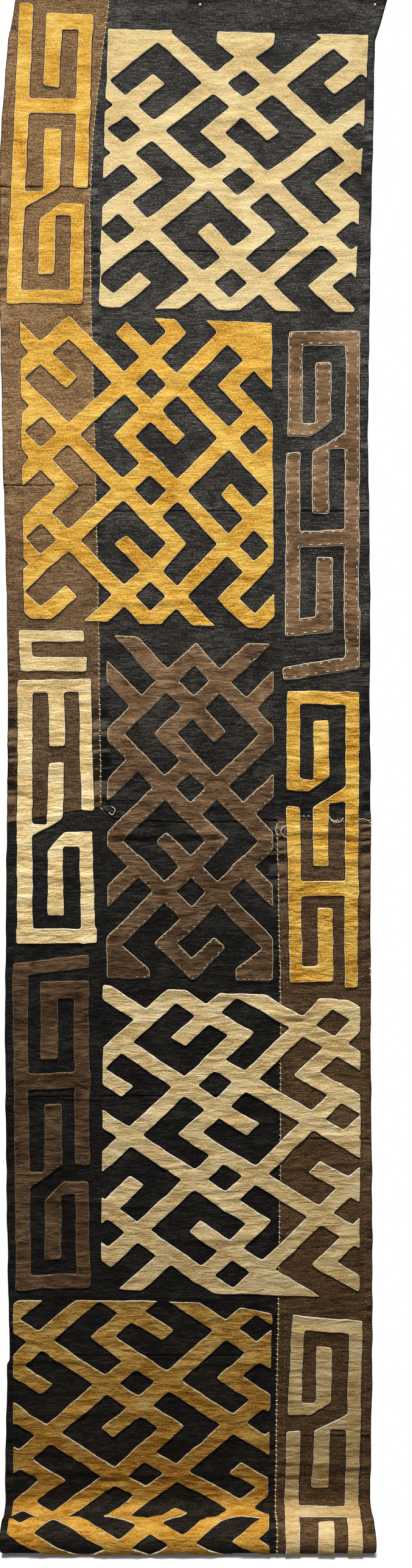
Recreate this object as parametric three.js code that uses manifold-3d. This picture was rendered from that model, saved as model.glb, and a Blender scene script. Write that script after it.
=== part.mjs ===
// A long raffia skirt cloth, pieced from black and brown panels, with cream, gold and brown cut-out
// work sewn on its face. It hangs flat from two pins, and its lower end is wound into a roll.
//
// Millimetres. X runs to the right, Y away from the viewer and Z up. The origin is on the pin line,
// on the back face of the cloth. Each cloth piece is first laid out flat as (x, rise, height): rise is
// minus the drop below the pin line, and height is the distance in front of the back face. The hang
// path then bends it.

import * as THREE from 'three';
import { mergeVertices } from 'three/addons/utils/BufferGeometryUtils.js';
import Module from 'manifold-3d';

const wasm = await Module();
wasm.setup();

// Driving sizes of the cloth and its folds.
const GROUND_THICK = 1.4;
const APPLIED_THICK = 1.2;
const GAP = 0.3;
const APPLIED_BASE = GROUND_THICK + GAP;
const LIP_LENGTH = 30;
const LIP_RADIUS = 60;
const TUCK_DROP = 2815;
const TUCK_RADIUS = 23;
const TUCK_TURN = THREE.MathUtils.degToRad(118);
const ROLL_RADIUS = 26;
const NEUTRAL_HEIGHT = 2.4;
const GROUND_WRAP = THREE.MathUtils.degToRad(268);
const APPLIED_WRAP = THREE.MathUtils.degToRad(187);
const ROLL_LEFT = -337;
const ROLL_RIGHT = 343;
const LIP_STEPS = 2;
const TUCK_STEPS = 4;
const WRAP_STEPS = 12;
const BACK_STEPS = 5;

const TUCK_NEUTRAL = TUCK_RADIUS - NEUTRAL_HEIGHT;
const ROLL_NEUTRAL = ROLL_RADIUS + NEUTRAL_HEIGHT;
const WRAP_DROP = TUCK_DROP + TUCK_NEUTRAL * TUCK_TURN;
const GROUND_END = WRAP_DROP + ROLL_NEUTRAL * GROUND_WRAP;
const APPLIED_END = WRAP_DROP + ROLL_NEUTRAL * APPLIED_WRAP;

// How far the hanging cloth stands off its back plane: it swells a little at each thick cross seam.
const HANG = [
  { drop: 0, forward: 0 },
  { drop: 467, forward: 3 },
  { drop: 956, forward: 4 },
  { drop: 1540, forward: 5 },
  { drop: 2058, forward: 4.5 },
  { drop: 2546, forward: 4 },
  { drop: TUCK_DROP, forward: 0 },
];

// Side edges of the whole cloth, uneven as it hangs.
const OUTLINE = [
  { drop: -LIP_LENGTH, left: -321, right: 383 },
  { drop: 34, left: -332, right: 365 },
  { drop: 69, left: -338, right: 353 },
  { drop: 218, left: -351, right: 351 },
  { drop: 334, left: -354, right: 348 },
  { drop: 540, left: -354, right: 343 },
  { drop: 816, left: -348, right: 340 },
  { drop: 1092, left: -341, right: 344 },
  { drop: 1311, left: -337, right: 343 },
  { drop: 1598, left: -340, right: 345 },
  { drop: 1943, left: -343, right: 345 },
  { drop: 2288, left: -340, right: 348 },
  { drop: 2518, left: -335, right: 348 },
  { drop: 2772, left: -344, right: 345 },
  { drop: GROUND_END, left: -340, right: 346 },
];

// The long seams between the brown and black columns, and the cross seam where the two columns change sides.
const UPPER_SEAM = [
  { drop: -LIP_LENGTH, x: -145 },
  { drop: 115, x: -164 },
  { drop: 241, x: -177 },
  { drop: 368, x: -184 },
  { drop: 540, x: -182 },
  { drop: 793, x: -175 },
  { drop: 1254, x: -166 },
  { drop: 1560, x: -162 },
];
const LOWER_SEAM = [
  { drop: 1500, x: 168 },
  { drop: 1828, x: 175 },
  { drop: 2174, x: 175 },
  { drop: 2518, x: 170 },
  { drop: GROUND_END, x: 164 },
];
const CROSS_SEAM = [
  { x: -360, drop: 1548 },
  { x: -163, drop: 1514 },
  { x: -140, drop: 1536 },
  { x: -9, drop: 1543 },
  { x: 168, drop: 1539 },
  { x: 360, drop: 1536 },
];

// Ground panels: the column each belongs to, and the drops where it starts and ends. 'cross' stands
// for the cross seam.
const PANELS = [
  { name: 'brown_left_top', column: 'upperLeft', from: -LIP_LENGTH, to: 345 },
  { name: 'brown_left_middle', column: 'upperLeft', from: 345, to: 908 },
  { name: 'brown_left_low', column: 'upperLeft', from: 908, to: 'cross' },
  { name: 'black_upper_top', column: 'upperRight', from: -LIP_LENGTH, to: 467 },
  { name: 'black_upper_middle', column: 'upperRight', from: 467, to: 956 },
  { name: 'black_upper_low', column: 'upperRight', from: 956, to: 'cross' },
  { name: 'black_lower_top', column: 'lowerLeft', from: 'cross', to: 2058 },
  { name: 'black_lower_middle', column: 'lowerLeft', from: 2058, to: 2546 },
  { name: 'black_lower_end', column: 'lowerLeft', from: 2546, to: GROUND_END },
  { name: 'brown_right_top', column: 'lowerRight', from: 'cross', to: 2138 },
  { name: 'brown_right_middle', column: 'lowerRight', from: 2138, to: 2698 },
  { name: 'brown_right_end', column: 'lowerRight', from: 2698, to: GROUND_END },
];

// Two pins through the top edge.
const PINS = [
  { name: 'pin_middle', x: 24 },
  { name: 'pin_right', x: 354 },
];
const PIN_HEAD_RADIUS = 2.6;
const PIN_HEAD_HEIGHT = 2.4;
const PIN_SHANK_RADIUS = 0.6;
const PIN_SHANK_END = 12;
const PIN_CLEAR = 0.6;
const PIN_SIDES = 10;

// Interlaced fields. Their bands run on a slanted lattice of eyes, four rows apart, with a spur between
// each two eyes of a column. A spur is named by the way it points: SE and SW leave the eye above, NE and
// NW the eye below, and the band beside it zigzags on the other side. An eye is full, or its lower half
// only, or solid. Windows are corners [x, drop]; fills and arms are in lattice columns and rows.
const BAND_HALF = 0.3;
const SPUR_REACH = 1.1;
const ARM_REACH = 2;
const FULL = 'full';
const LOWER = 'lower';
const SOLID = 'solid';
const FIELDS = [
  {
    name: 'cream_lattice_upper',
    colour: 'cream',
    eyes: [
      { row: 0, x: 106, drop: 151 },
      { row: 4, x: 97, drop: 335 },
      { row: 8, x: 82, drop: 527 },
    ],
    stepLeft: { x: 55.2, drop: 1.7 },
    stepRight: { x: 55.2, drop: 1.7 },
    window: [[-150, 46], [342, 57], [314, 583], [-167, 574]],
    left: { firstRow: -2, eyes: [SOLID, FULL, FULL], spurs: ['', 'NE', 'SW', 'NE'] },
    centre: { firstRow: 0, eyes: [FULL, FULL, FULL], spurs: ['', 'SE', 'NW', ''] },
    right: { firstRow: -2, eyes: [SOLID, FULL, FULL], spurs: ['', 'SW', 'SE', 'SE'] },
    fills: [
      [[-1, -2.6], [-1, -1.7], [-0.4, -1.1], [0.4, -1.1], [1, -1.7], [1, -2.6]],
      [[-6, -3], [-3, -3], [-3, -2], [-5, 0], [-6, 0]],
      [[3, -3], [5, -3], [5, -1], [4, -1], [3, -2]],
      [[-5.2, 7.4], [-4.42, 7.4], [-4.42, 8.6], [-5.2, 8.6]],
    ],
  },
  {
    name: 'gold_lattice_upper',
    colour: 'gold',
    eyes: [
      { row: 0, x: -68, drop: 718 },
      { row: 4, x: -68, drop: 918 },
      { row: 8, x: -68, drop: 1118 },
    ],
    stepLeft: { x: 52, drop: 2.5 },
    stepRight: { x: 48.3, drop: 0.9 },
    window: [[-315, 584], [159, 601], [164, 1178], [-308, 1159]],
    left: { firstRow: -2, eyes: [LOWER, FULL, FULL], spurs: ['', 'SE', 'SW', 'NE'] },
    centre: { firstRow: 0, eyes: [FULL, FULL, FULL], spurs: ['NW', 'SE', 'NW', ''] },
    right: { firstRow: -2, eyes: [SOLID, FULL, FULL], spurs: ['', 'SE', 'NW', 'NE'] },
    fills: [
      [[3, -3], [6, -3], [6, 0], [5, 0], [3, -2]],
      [[4.35, 3], [5.2, 2.15], [5.2, 3.85]],
      [[4.35, 5], [5.2, 4.15], [5.2, 5.85]],
    ],
  },
  {
    name: 'brown_lattice',
    colour: 'russet',
    eyes: [
      { row: 0, x: 12, drop: 1276 },
      { row: 4, x: 5, drop: 1478 },
      { row: 8, x: 7, drop: 1674 },
    ],
    stepLeft: { x: 49.4, drop: 0.6 },
    stepRight: { x: 49.4, drop: 0.6 },
    window: [[-150, 1190], [162, 1208], [160, 1841], [-151, 1834]],
    centre: { firstRow: 0, eyes: [FULL, FULL, FULL], spurs: ['', 'SE', 'NW', 'NE'] },
    arms: [
      { from: [-2, 1], way: 'NW' },
      { from: [-2, 3], way: 'SW' },
      { from: [-2, 7], way: 'SW' },
      { from: [2, 1], way: 'NE' },
      { from: [2, 5], way: 'NE' },
      { from: [2, 7], way: 'SE' },
    ],
    fills: [
      [[-3.6, 9.8], [-2.65, 10.1], [-1.6, 10.95], [-1.6, 12], [-3.6, 12]],
      [[3.6, 9.8], [3.6, 12], [1.65, 12], [1.65, 10.95], [2.7, 10.15]],
    ],
  },
  {
    name: 'cream_lattice_lower',
    colour: 'cream',
    eyes: [
      { row: 0, x: 52, drop: 2037 },
      { row: 4, x: 70, drop: 2213 },
      { row: 8, x: 84, drop: 2393 },
    ],
    stepLeft: { x: 56.7, drop: -3.2 },
    stepRight: { x: 57.8, drop: -7.4 },
    window: [[-159, 1849], [327, 1878], [324, 2437], [-163, 2420]],
    left: { firstRow: -2, eyes: [LOWER, FULL, FULL], spurs: ['', 'SE', 'NE', ''] },
    centre: { firstRow: -4, eyes: [LOWER, FULL, FULL, FULL], spurs: ['', 'SW', 'SE', 'NW', ''] },
    right: { firstRow: -2, eyes: [FULL, FULL, FULL], spurs: ['', 'SE', 'NW', 'SE'] },
    arms: [
      { from: [-2, -3], way: 'NW' },
      { from: [-2, 7], way: 'SW' },
    ],
    skipped: ['-1,8,SW'],
    fills: [
      [[0, 8.6], [1, 8], [2.4, 9.2], [0, 9.4]],
    ],
  },
  {
    name: 'gold_lattice_lower',
    colour: 'gold',
    eyes: [
      { row: 0, x: -94, drop: 2597 },
      { row: 4, x: -79, drop: 2774 },
      { row: 8, x: -67, drop: 2918 },
    ],
    stepLeft: { x: 58.6, drop: -3.4 },
    stepRight: { x: 57.7, drop: -3.7 },
    window: [[-328, 2441], [-60, 2441], [60, 2447], [159, 2466], [150, APPLIED_END], [-330, APPLIED_END]],
    left: { firstRow: -2, eyes: [FULL, FULL, FULL], spurs: ['NE', 'SE', 'SW', ''] },
    centre: { firstRow: -4, eyes: [LOWER, FULL, FULL, FULL], spurs: ['', 'SE', 'SW', 'NE', ''] },
    right: { firstRow: -2, eyes: [FULL, FULL, FULL], spurs: ['', 'SE', 'NW', 'SE'] },
    arms: [
      { from: [-4, 7], way: 'SE' },
    ],
    fills: [
      [[-1.2, -5], [-1.2, -3.7], [-0.6, -3.2], [0, -3], [0.8, -3.5], [0.8, -5]],
    ],
  },
];

// Key-pattern hooks, drawn in a unit box: first number across from the long bar, second down.
const box = (across0, across1, down0, down1) => [
  [across0, down0],
  [across1, down0],
  [across1, down1],
  [across0, down1],
];
const HOOK_BARS = [
  box(0, 0.19, 0, 1),
  box(0.36, 0.99, 0.024, 0.077),
  box(0.36, 0.58, 0.024, 0.271),
  box(0.8, 0.99, 0.024, 0.61),
  box(0, 0.99, 0.31, 0.36),
  [[0.4, 0.413], [0.625, 0.413], [0.625, 0.611], [0.15, 0.682], [0.15, 0.625], [0.4, 0.625]],
  [[0.395, 0.715], [0.66, 0.664], [0.98, 0.664], [0.98, 1], [0.8, 1], [0.8, 0.705], [0.61, 0.705],
    [0.61, 0.903], [0.395, 0.903]],
  box(0, 0.98, 0.955, 1),
];
const COMB_HOOK_BARS = [
  box(0, 0.2, 0, 1),
  box(0, 1, 0, 0.05),
  box(0.42, 0.64, 0.02, 0.256),
  box(0.83, 1, 0, 0.5),
  [[0.43, 0.315], [0.63, 0.315], [0.6, 0.53], [0.15, 0.605], [0.15, 0.547], [0.39, 0.547]],
  [[0.4, 0.645], [0.62, 0.58], [0.98, 0.58], [0.98, 1], [0.8, 1], [0.8, 0.635], [0.6, 0.635],
    [0.6, 0.89], [0.4, 0.89]],
  box(0, 1, 0.945, 1),
];
// Under the roll, out of sight, the last hook is closed by a plain bar.
const UNDER_ROLL_BAR = box(0.36, 0.99, 0.12, 0.146);
const BRACKET_BARS = [box(0, 0.19, 0, 1), box(0, 0.97, 0, 0.28), box(0, 1, 0.65, 1)];

// Each hook's four corners as [x, drop], clockwise from the top left. A turned hook is the same one
// upside down, and a tail is one more bar past the long bar's free end, sloping from near to far.
const HOOKS = [
  { name: 'gold_hook_left', colour: 'gold', bars: HOOK_BARS,
    corners: [[-316, -2], [-175, 7], [-195, 566], [-341, 566]] },
  { name: 'brown_hook_right', colour: 'russet', bars: HOOK_BARS, turned: true,
    tail: { near: -0.094, far: -0.12 },
    corners: [[189, 620], [323, 620], [323, 1198], [182, 1205]] },
  { name: 'gold_hook_right', colour: 'gold', bars: HOOK_BARS, turned: true,
    corners: [[183, 1294], [322, 1297], [322, 1852], [190, 1858]] },
  { name: 'cream_bracket', colour: 'cream', bars: BRACKET_BARS,
    corners: [[-316, 1180], [-191, 1179], [-189, 1257], [-316, 1257]] },
  { name: 'cream_hook_left', colour: 'cream', bars: COMB_HOOK_BARS,
    corners: [[-320, 1274], [-181, 1270], [-170, 1771], [-323, 1771]] },
  { name: 'brown_hook_left', colour: 'russet', bars: HOOK_BARS, tail: { near: -0.041, far: -0.058 },
    corners: [[-327, 1831], [-184, 1826], [-181, 2418], [-324, 2424]] },
  { name: 'cream_hook_right', colour: 'cream', bars: [...HOOK_BARS, UNDER_ROLL_BAR], turned: true,
    corners: [[193, 2470], [330, 2482], [320, 3026], [174, 3026]] },
];
const TAIL_WIDTH = 0.042;

// Hand-cut work drifts off its chart: a slow sway of the cut edges, across and along the cloth.
const SWAY = 1.6;
const SWAY_LENGTH = 130;

// Detail finer than this is dropped from joined plates.
const TINY = 0.4;

const COLOURS = {
  black: { color: 0x2b2a29, roughness: 0.95 },
  brown: { color: 0x5f4a37, roughness: 0.92 },
  russet: { color: 0x6b5340, roughness: 0.9 },
  gold: { color: 0xd9a240, roughness: 0.88 },
  cream: { color: 0xdcc38a, roughness: 0.88 },
  rolled: { color: 0x3a332c, roughness: 0.95 },
  steel: { color: 0xc8c8c8, roughness: 0.3, metalness: 1 },
};

// A table's value between its rows.
function between(rows, key, at, by) {
  let k = 0;
  while (k < rows.length - 2 && at > rows[k + 1][by]) k += 1;
  const share = (at - rows[k][by]) / (rows[k + 1][by] - rows[k][by]);
  return THREE.MathUtils.lerp(rows[k][key], rows[k + 1][key], share);
}

// The hang path: where a point of the cloth at a drop and a height comes to lie, as { y, z }.
function hangExactly(drop, height) {
  if (drop < 0) {
    const turn = -drop / LIP_RADIUS;
    const radius = LIP_RADIUS - height;
    return { y: radius * Math.cos(turn) - LIP_RADIUS, z: radius * Math.sin(turn) };
  }
  if (drop <= TUCK_DROP) {
    return { y: -height - between(HANG, 'forward', drop, 'drop'), z: -drop };
  }
  if (drop <= WRAP_DROP) {
    const turn = (drop - TUCK_DROP) / TUCK_NEUTRAL;
    const radius = TUCK_RADIUS - height;
    return { y: radius * Math.cos(turn) - TUCK_RADIUS, z: -TUCK_DROP - radius * Math.sin(turn) };
  }
  return rollPoint(TUCK_TURN - (drop - WRAP_DROP) / ROLL_NEUTRAL, ROLL_RADIUS + height);
}

// A point of the roll: turn is 90 degrees at its top, 0 at its front and -90 degrees underneath.
function rollPoint(turn, radius) {
  const reach = TUCK_RADIUS + ROLL_RADIUS;
  const centreY = reach * Math.cos(TUCK_TURN) - TUCK_RADIUS;
  const centreZ = -TUCK_DROP - reach * Math.sin(TUCK_TURN);
  return { y: centreY - radius * Math.cos(turn), z: centreZ + radius * Math.sin(turn) };
}

// Drops at which the cloth is creased into flat strips, so that layers of cloth stay parallel.
function evenSteps(from, to, steps) {
  return Array.from({ length: steps + 1 }, (_, k) => THREE.MathUtils.lerp(from, to, k / steps));
}
const STATIONS = [...new Set([
  ...evenSteps(-LIP_LENGTH, 0, LIP_STEPS),
  ...HANG.map((row) => row.drop),
  ...evenSteps(TUCK_DROP, WRAP_DROP, TUCK_STEPS),
  ...evenSteps(WRAP_DROP, GROUND_END, WRAP_STEPS),
])].sort((a, b) => a - b);

function hang(x, drop, height) {
  let k = 0;
  while (k < STATIONS.length - 2 && drop > STATIONS[k + 1]) k += 1;
  const share = (drop - STATIONS[k]) / (STATIONS[k + 1] - STATIONS[k]);
  const above = hangExactly(STATIONS[k], height);
  const below = hangExactly(STATIONS[k + 1], height);
  return new THREE.Vector3(
    x,
    THREE.MathUtils.lerp(above.y, below.y, share),
    THREE.MathUtils.lerp(above.z, below.z, share),
  );
}

// Solids, joins and cuts.
function toSolid(geometry) {
  const bare = geometry.index ? geometry.toNonIndexed() : geometry.clone();
  bare.deleteAttribute('normal');
  bare.deleteAttribute('uv');
  const merged = mergeVertices(bare, 1e-4);
  return new wasm.Manifold(new wasm.Mesh({
    numProp: 3,
    vertProperties: new Float32Array(merged.attributes.position.array),
    triVerts: new Uint32Array(merged.index.array),
  }));
}

// A flat plate with the outline points, given as [x, drop], from a base height up.
function plate(points, base, thick) {
  const shape = new THREE.Shape(points.map(([x, drop]) => new THREE.Vector2(x, -drop)));
  const geometry = new THREE.ExtrudeGeometry(shape, { depth: thick, bevelEnabled: false });
  geometry.translate(0, 0, base);
  return toSolid(geometry);
}

function joined(solids) {
  return solids.reduce((whole, solid) => whole.add(solid));
}

// The part of a polygon above or below a line of constant rise. Shared edges are cut at one point.
function clipAt(polygon, rise, side) {
  const result = [];
  polygon.forEach((point, k) => {
    const next = polygon[(k + 1) % polygon.length];
    const inside = (point.y - rise) * side >= 0;
    const nextInside = (next.y - rise) * side >= 0;
    if (inside) result.push(point);
    if (inside === nextInside || point.y === rise || next.y === rise) return;
    const [low, high] = point.y < next.y ? [point, next] : [next, point];
    const crossing = low.clone().lerp(high, (rise - low.y) / (high.y - low.y));
    crossing.y = rise;
    result.push(crossing);
  });
  return result;
}

// Cuts one triangle into the strips between the crease lines.
function creased(triangle) {
  const rises = triangle.map((p) => p.y);
  const inside = (rise) => rise < Math.max(...rises) && rise > Math.min(...rises);
  const lines = STATIONS.map((drop) => -drop).filter(inside);
  const polygons = [];
  let rest = triangle;
  for (const rise of lines) {
    polygons.push(clipAt(rest, rise, 1));
    rest = clipAt(rest, rise, -1);
  }
  polygons.push(rest);
  return polygons.flatMap((polygon) => polygon.slice(2).map((p, k) => [polygon[0], polygon[k + 1], p]));
}

// Bends a flat solid along the hang path.
function hung(solid) {
  const mesh = solid.getMesh();
  const at = (v) => new THREE.Vector3().fromArray(mesh.vertProperties, v * mesh.numProp);
  const triangles = [];
  for (let k = 0; k < mesh.triVerts.length; k += 3) {
    triangles.push(...creased([0, 1, 2].map((c) => at(mesh.triVerts[k + c]))));
  }
  const points = triangles.flat().map((p) => hang(p.x, -p.y, p.z));
  const geometry = new THREE.BufferGeometry().setFromPoints(points);
  const whole = mergeVertices(geometry, 1e-3);
  whole.computeVertexNormals();
  return whole;
}

const cloth = new THREE.Group();
function addPiece(name, geometry, finish) {
  const material = new THREE.MeshStandardMaterial({ metalness: 0, ...COLOURS[finish] });
  const mesh = new THREE.Mesh(geometry, material);
  mesh.name = name;
  cloth.add(mesh);
}

// Ground panels, with half of the seam gap taken from each side of a seam.
const outlineLeft = (drop) => between(OUTLINE, 'left', drop, 'drop');
const outlineRight = (drop) => between(OUTLINE, 'right', drop, 'drop');
const upperSeam = (drop) => between(UPPER_SEAM, 'x', drop, 'drop');
const lowerSeam = (drop) => between(LOWER_SEAM, 'x', drop, 'drop');
const crossSeam = (x) => between(CROSS_SEAM, 'drop', x, 'x');
const COLUMNS = {
  upperLeft: { finish: 'brown', left: outlineLeft, right: (drop) => upperSeam(drop) - GAP / 2 },
  upperRight: { finish: 'black', left: (drop) => upperSeam(drop) + GAP / 2, right: outlineRight },
  lowerLeft: { finish: 'black', left: outlineLeft, right: (drop) => lowerSeam(drop) - GAP / 2 },
  lowerRight: { finish: 'brown', left: (drop) => lowerSeam(drop) + GAP / 2, right: outlineRight },
};
const EDGE_DROPS = [...OUTLINE, ...UPPER_SEAM, ...LOWER_SEAM].map((row) => row.drop).sort((a, b) => a - b);
const CROSS_CLEAR = 40;

// The points of a panel's upper or lower edge, from left to right.
function panelEnd(column, end, offset) {
  if (end !== 'cross') {
    const drop = end + offset;
    return [[column.left(drop), drop], [column.right(drop), drop]];
  }
  const leftX = column.left(crossSeam(column.left(CROSS_SEAM[0].drop)));
  const rightX = column.right(crossSeam(column.right(CROSS_SEAM[0].drop)));
  const inside = CROSS_SEAM.map((row) => row.x).filter((x) => x > leftX && x < rightX);
  return [leftX, ...inside, rightX].map((x) => [x, crossSeam(x) + offset]);
}

function panelPoints(panel) {
  const column = COLUMNS[panel.column];
  const atTop = panel.from === -LIP_LENGTH ? 0 : GAP / 2;
  const atFoot = panel.to === GROUND_END ? 0 : -GAP / 2;
  const top = panelEnd(column, panel.from, atTop);
  const foot = panelEnd(column, panel.to, atFoot);
  const clear = (end) => (end === 'cross' ? CROSS_CLEAR : 1);
  const lowest = Math.max(...top.map(([, drop]) => drop)) + clear(panel.from);
  const highest = Math.min(...foot.map(([, drop]) => drop)) - clear(panel.to);
  const drops = [...new Set(EDGE_DROPS)].filter((drop) => drop > lowest && drop < highest);
  const right = drops.map((drop) => [column.right(drop), drop]);
  const left = drops.map((drop) => [column.left(drop), drop]);
  return [...top, ...right, ...foot.reverse(), ...left.reverse()];
}

function pinHole(x) {
  const radius = PIN_SHANK_RADIUS + GAP;
  const corners = evenSteps(0, 2 * Math.PI, PIN_SIDES).slice(0, -1);
  return plate(corners.map((a) => [x + radius * Math.sin(a), radius * Math.cos(a)]), -1, GROUND_THICK + 2);
}

for (const panel of PANELS) {
  let solid = plate(panelPoints(panel), 0, GROUND_THICK);
  if (panel.name === 'black_upper_top') {
    for (const pin of PINS) solid = solid.subtract(pinHole(pin.x));
  }
  addPiece(panel.name, hung(solid), COLUMNS[panel.column].finish);
}

// Interlaced fields.
const WAYS = { NE: [1, -1], SE: [1, 1], SW: [-1, 1], NW: [-1, -1] };

// The four corners of a band between two lattice points, reaching past each end by its own half width or not.
function band(start, end, startReach = BAND_HALF, endReach = BAND_HALF) {
  const along = new THREE.Vector2(end[0] - start[0], end[1] - start[1]).normalize();
  const across = new THREE.Vector2(-along.y, along.x).multiplyScalar(BAND_HALF);
  const from = new THREE.Vector2(...start).addScaledVector(along, -startReach);
  const to = new THREE.Vector2(...end).addScaledVector(along, endReach);
  const nearSide = [from.clone().sub(across), to.clone().sub(across)];
  const farSide = [to.clone().add(across), from.clone().add(across)];
  return [...nearSide, ...farSide].map((p) => [p.x, p.y]);
}

function step(from, way, length = 1) {
  return [from[0] + WAYS[way][0] * length, from[1] + WAYS[way][1] * length];
}

function eyeBands(column, row, kind) {
  const top = [column, row - 1];
  const right = [column + 1, row];
  const foot = [column, row + 1];
  const left = [column - 1, row];
  const lower = [band(right, foot), band(foot, left)];
  return kind === LOWER ? lower : [...lower, band(left, top), band(top, right)];
}

// The spur and the zigzag between the eye at a row and the next eye below it.
function spurBands(column, row, way) {
  const top = [column, row + 1];
  const foot = [column, row + 3];
  const leavesTop = way.startsWith('S');
  const zigzagSide = way.endsWith('E') ? -1 : 1;
  const corner = [column + zigzagSide, row + 2];
  const root = leavesTop ? top : foot;
  return [band(top, corner), band(corner, foot), band(root, step(root, way, SPUR_REACH), BAND_HALF, 0)];
}

function fieldBands(field) {
  const bands = [];
  const sides = [['left', -4], ['centre', 0], ['right', 4]];
  for (const [side, column] of sides) {
    const chart = field[side];
    if (!chart) continue;
    chart.eyes.forEach((kind, k) => bands.push(...eyeBands(column, chart.firstRow + 4 * k, kind)));
    chart.spurs.forEach((way, k) => {
      if (way) bands.push(...spurBands(column, chart.firstRow + 4 * (k - 1), way));
    });
    bands.push(...mainBands(field, chart, column));
  }
  for (const arm of field.arms ?? []) bands.push(band(arm.from, step(arm.from, arm.way, ARM_REACH)));
  return bands;
}

// Long bands from the side corners of each eye towards the next columns.
function mainBands(field, chart, column) {
  const skipped = field.skipped ?? [];
  const bands = [];
  chart.eyes.forEach((kind, k) => {
    const row = chart.firstRow + 4 * k;
    const ways = Object.keys(WAYS).filter((way) => WAYS[way][0] * column <= 0);
    for (const way of ways) {
      const start = [column + WAYS[way][0], row];
      const upperHalfMissing = kind === LOWER && way.startsWith('N');
      if (skipped.includes(`${start[0]},${row},${way}`) || upperHalfMissing) continue;
      bands.push(band(start, step(start, way, 2)));
    }
  });
  return bands;
}

// Where a lattice point lies on the flat cloth.
function latticePlace(field, [column, row]) {
  const side = column < 0 ? field.stepLeft : field.stepRight;
  const x = between(field.eyes, 'x', row, 'row') + column * side.x;
  const drop = between(field.eyes, 'drop', row, 'row') + column * side.drop;
  return [x, drop];
}

// The slow sway of hand-cut edges, as a shift of a flat point.
function sway([x, drop]) {
  const across = Math.sin(drop / SWAY_LENGTH * 2 * Math.PI + x / SWAY_LENGTH);
  const along = Math.sin(x / SWAY_LENGTH * 2 * Math.PI - drop / SWAY_LENGTH + 1);
  return [x + SWAY * across, drop + SWAY * along];
}

const appliedPlate = (points) => plate(points, APPLIED_BASE, APPLIED_THICK);
const windowPlate = (points) => plate(points, 0, APPLIED_BASE + APPLIED_THICK + 1);

for (const field of FIELDS) {
  const outlines = [...fieldBands(field), ...(field.fills ?? [])];
  const plates = outlines.map((points) => appliedPlate(points.map((p) => sway(latticePlace(field, p)))));
  const solid = joined(plates).intersect(windowPlate(field.window)).asOriginal().simplify(TINY);
  addPiece(field.name, hung(solid), field.colour);
}

// Key-pattern hooks.
function hookPlace(hook, [across, down]) {
  const u = hook.turned ? 1 - across : across;
  const v = hook.turned ? 1 - down : down;
  const [topLeft, topRight, footRight, footLeft] = hook.corners;
  return [0, 1].map((k) => THREE.MathUtils.lerp(
    THREE.MathUtils.lerp(topLeft[k], topRight[k], u),
    THREE.MathUtils.lerp(footLeft[k], footRight[k], u),
    v,
  ));
}

function tailBars({ near, far }) {
  return [
    box(0, 0.19, near, 0.1),
    [[0, near], [1, far], [1, far + TAIL_WIDTH], [0, near + TAIL_WIDTH]],
  ];
}

for (const hook of HOOKS) {
  const bars = hook.tail ? [...hook.bars, ...tailBars(hook.tail)] : hook.bars;
  const plates = bars.map((points) => appliedPlate(points.map((p) => sway(hookPlace(hook, p)))));
  const reach = windowPlate([[-400, -100], [400, -100], [400, APPLIED_END], [-400, APPLIED_END]]);
  addPiece(hook.name, hung(joined(plates).intersect(reach).asOriginal().simplify(TINY)), hook.colour);
}

// The wound length inside the roll: flush with the last turn behind, and just inside the turn that covers it.
function rolledSection() {
  const wrapEnd = TUCK_TURN - GROUND_WRAP;
  const backTurn = 2 * Math.PI - GROUND_WRAP;
  const inner = ROLL_RADIUS - GAP;
  const covered = evenSteps(TUCK_TURN, wrapEnd, WRAP_STEPS).map((turn) => ({ turn, radius: inner }));
  const stepClear = 2 * GAP / ROLL_RADIUS;
  const open = evenSteps(stepClear, backTurn, BACK_STEPS).slice(0, -1).map((past) => ({
    turn: wrapEnd - past,
    radius: THREE.MathUtils.lerp(ROLL_RADIUS + GROUND_THICK, inner, past / backTurn),
  }));
  return [...covered, ...open].map(({ turn, radius }) => rollPoint(turn, radius));
}

const section = new THREE.Shape(rolledSection().map(({ y, z }) => new THREE.Vector2(y, z)));
const rolled = new THREE.ExtrudeGeometry(section, { depth: ROLL_RIGHT - ROLL_LEFT, bevelEnabled: false });
// The section's own axes are Y and Z, and its length becomes X.
rolled.applyMatrix4(new THREE.Matrix4().set(0, 0, 1, ROLL_LEFT, 1, 0, 0, 0, 0, 1, 0, 0, 0, 0, 0, 1));
addPiece('rolled_length', rolled, 'rolled');

// Pins: a domed head just clear of the cloth, and a shank that reaches back through it.
function pinProfile() {
  const seat = -GROUND_THICK - PIN_CLEAR;
  const dome = evenSteps(0, Math.PI / 2, 3).map((a) => new THREE.Vector2(
    PIN_HEAD_RADIUS * Math.sin(a),
    seat - PIN_HEAD_HEIGHT * Math.cos(a),
  ));
  return [
    ...dome,
    new THREE.Vector2(PIN_SHANK_RADIUS, seat),
    new THREE.Vector2(PIN_SHANK_RADIUS, PIN_SHANK_END - 2),
    new THREE.Vector2(0, PIN_SHANK_END),
  ];
}

for (const pin of PINS) {
  const geometry = new THREE.LatheGeometry(pinProfile(), PIN_SIDES);
  geometry.translate(pin.x, 0, 0);
  addPiece(pin.name, geometry, 'steel');
}

export default cloth;
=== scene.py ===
# %% [markdown]
# # A long raffia cloth, pinned flat and rolled at its foot
#
# The real cloth is a ground of black and brown raffia panels sewn edge to edge. Cut-out pieces of cream, gold
# and brown raffia are sewn on its face. It hangs from two pins, and its lower end is wound into a roll.
#
# Every cloth piece is made the same way, as a tailor would make it: laid out flat, shaped, and then hung.

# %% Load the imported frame
import math

import bmesh
import bpy
import numpy as np
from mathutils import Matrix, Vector
from mathutils.bvhtree import BVHTree
from mathutils.geometry import delaunay_2d_cdt


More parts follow.
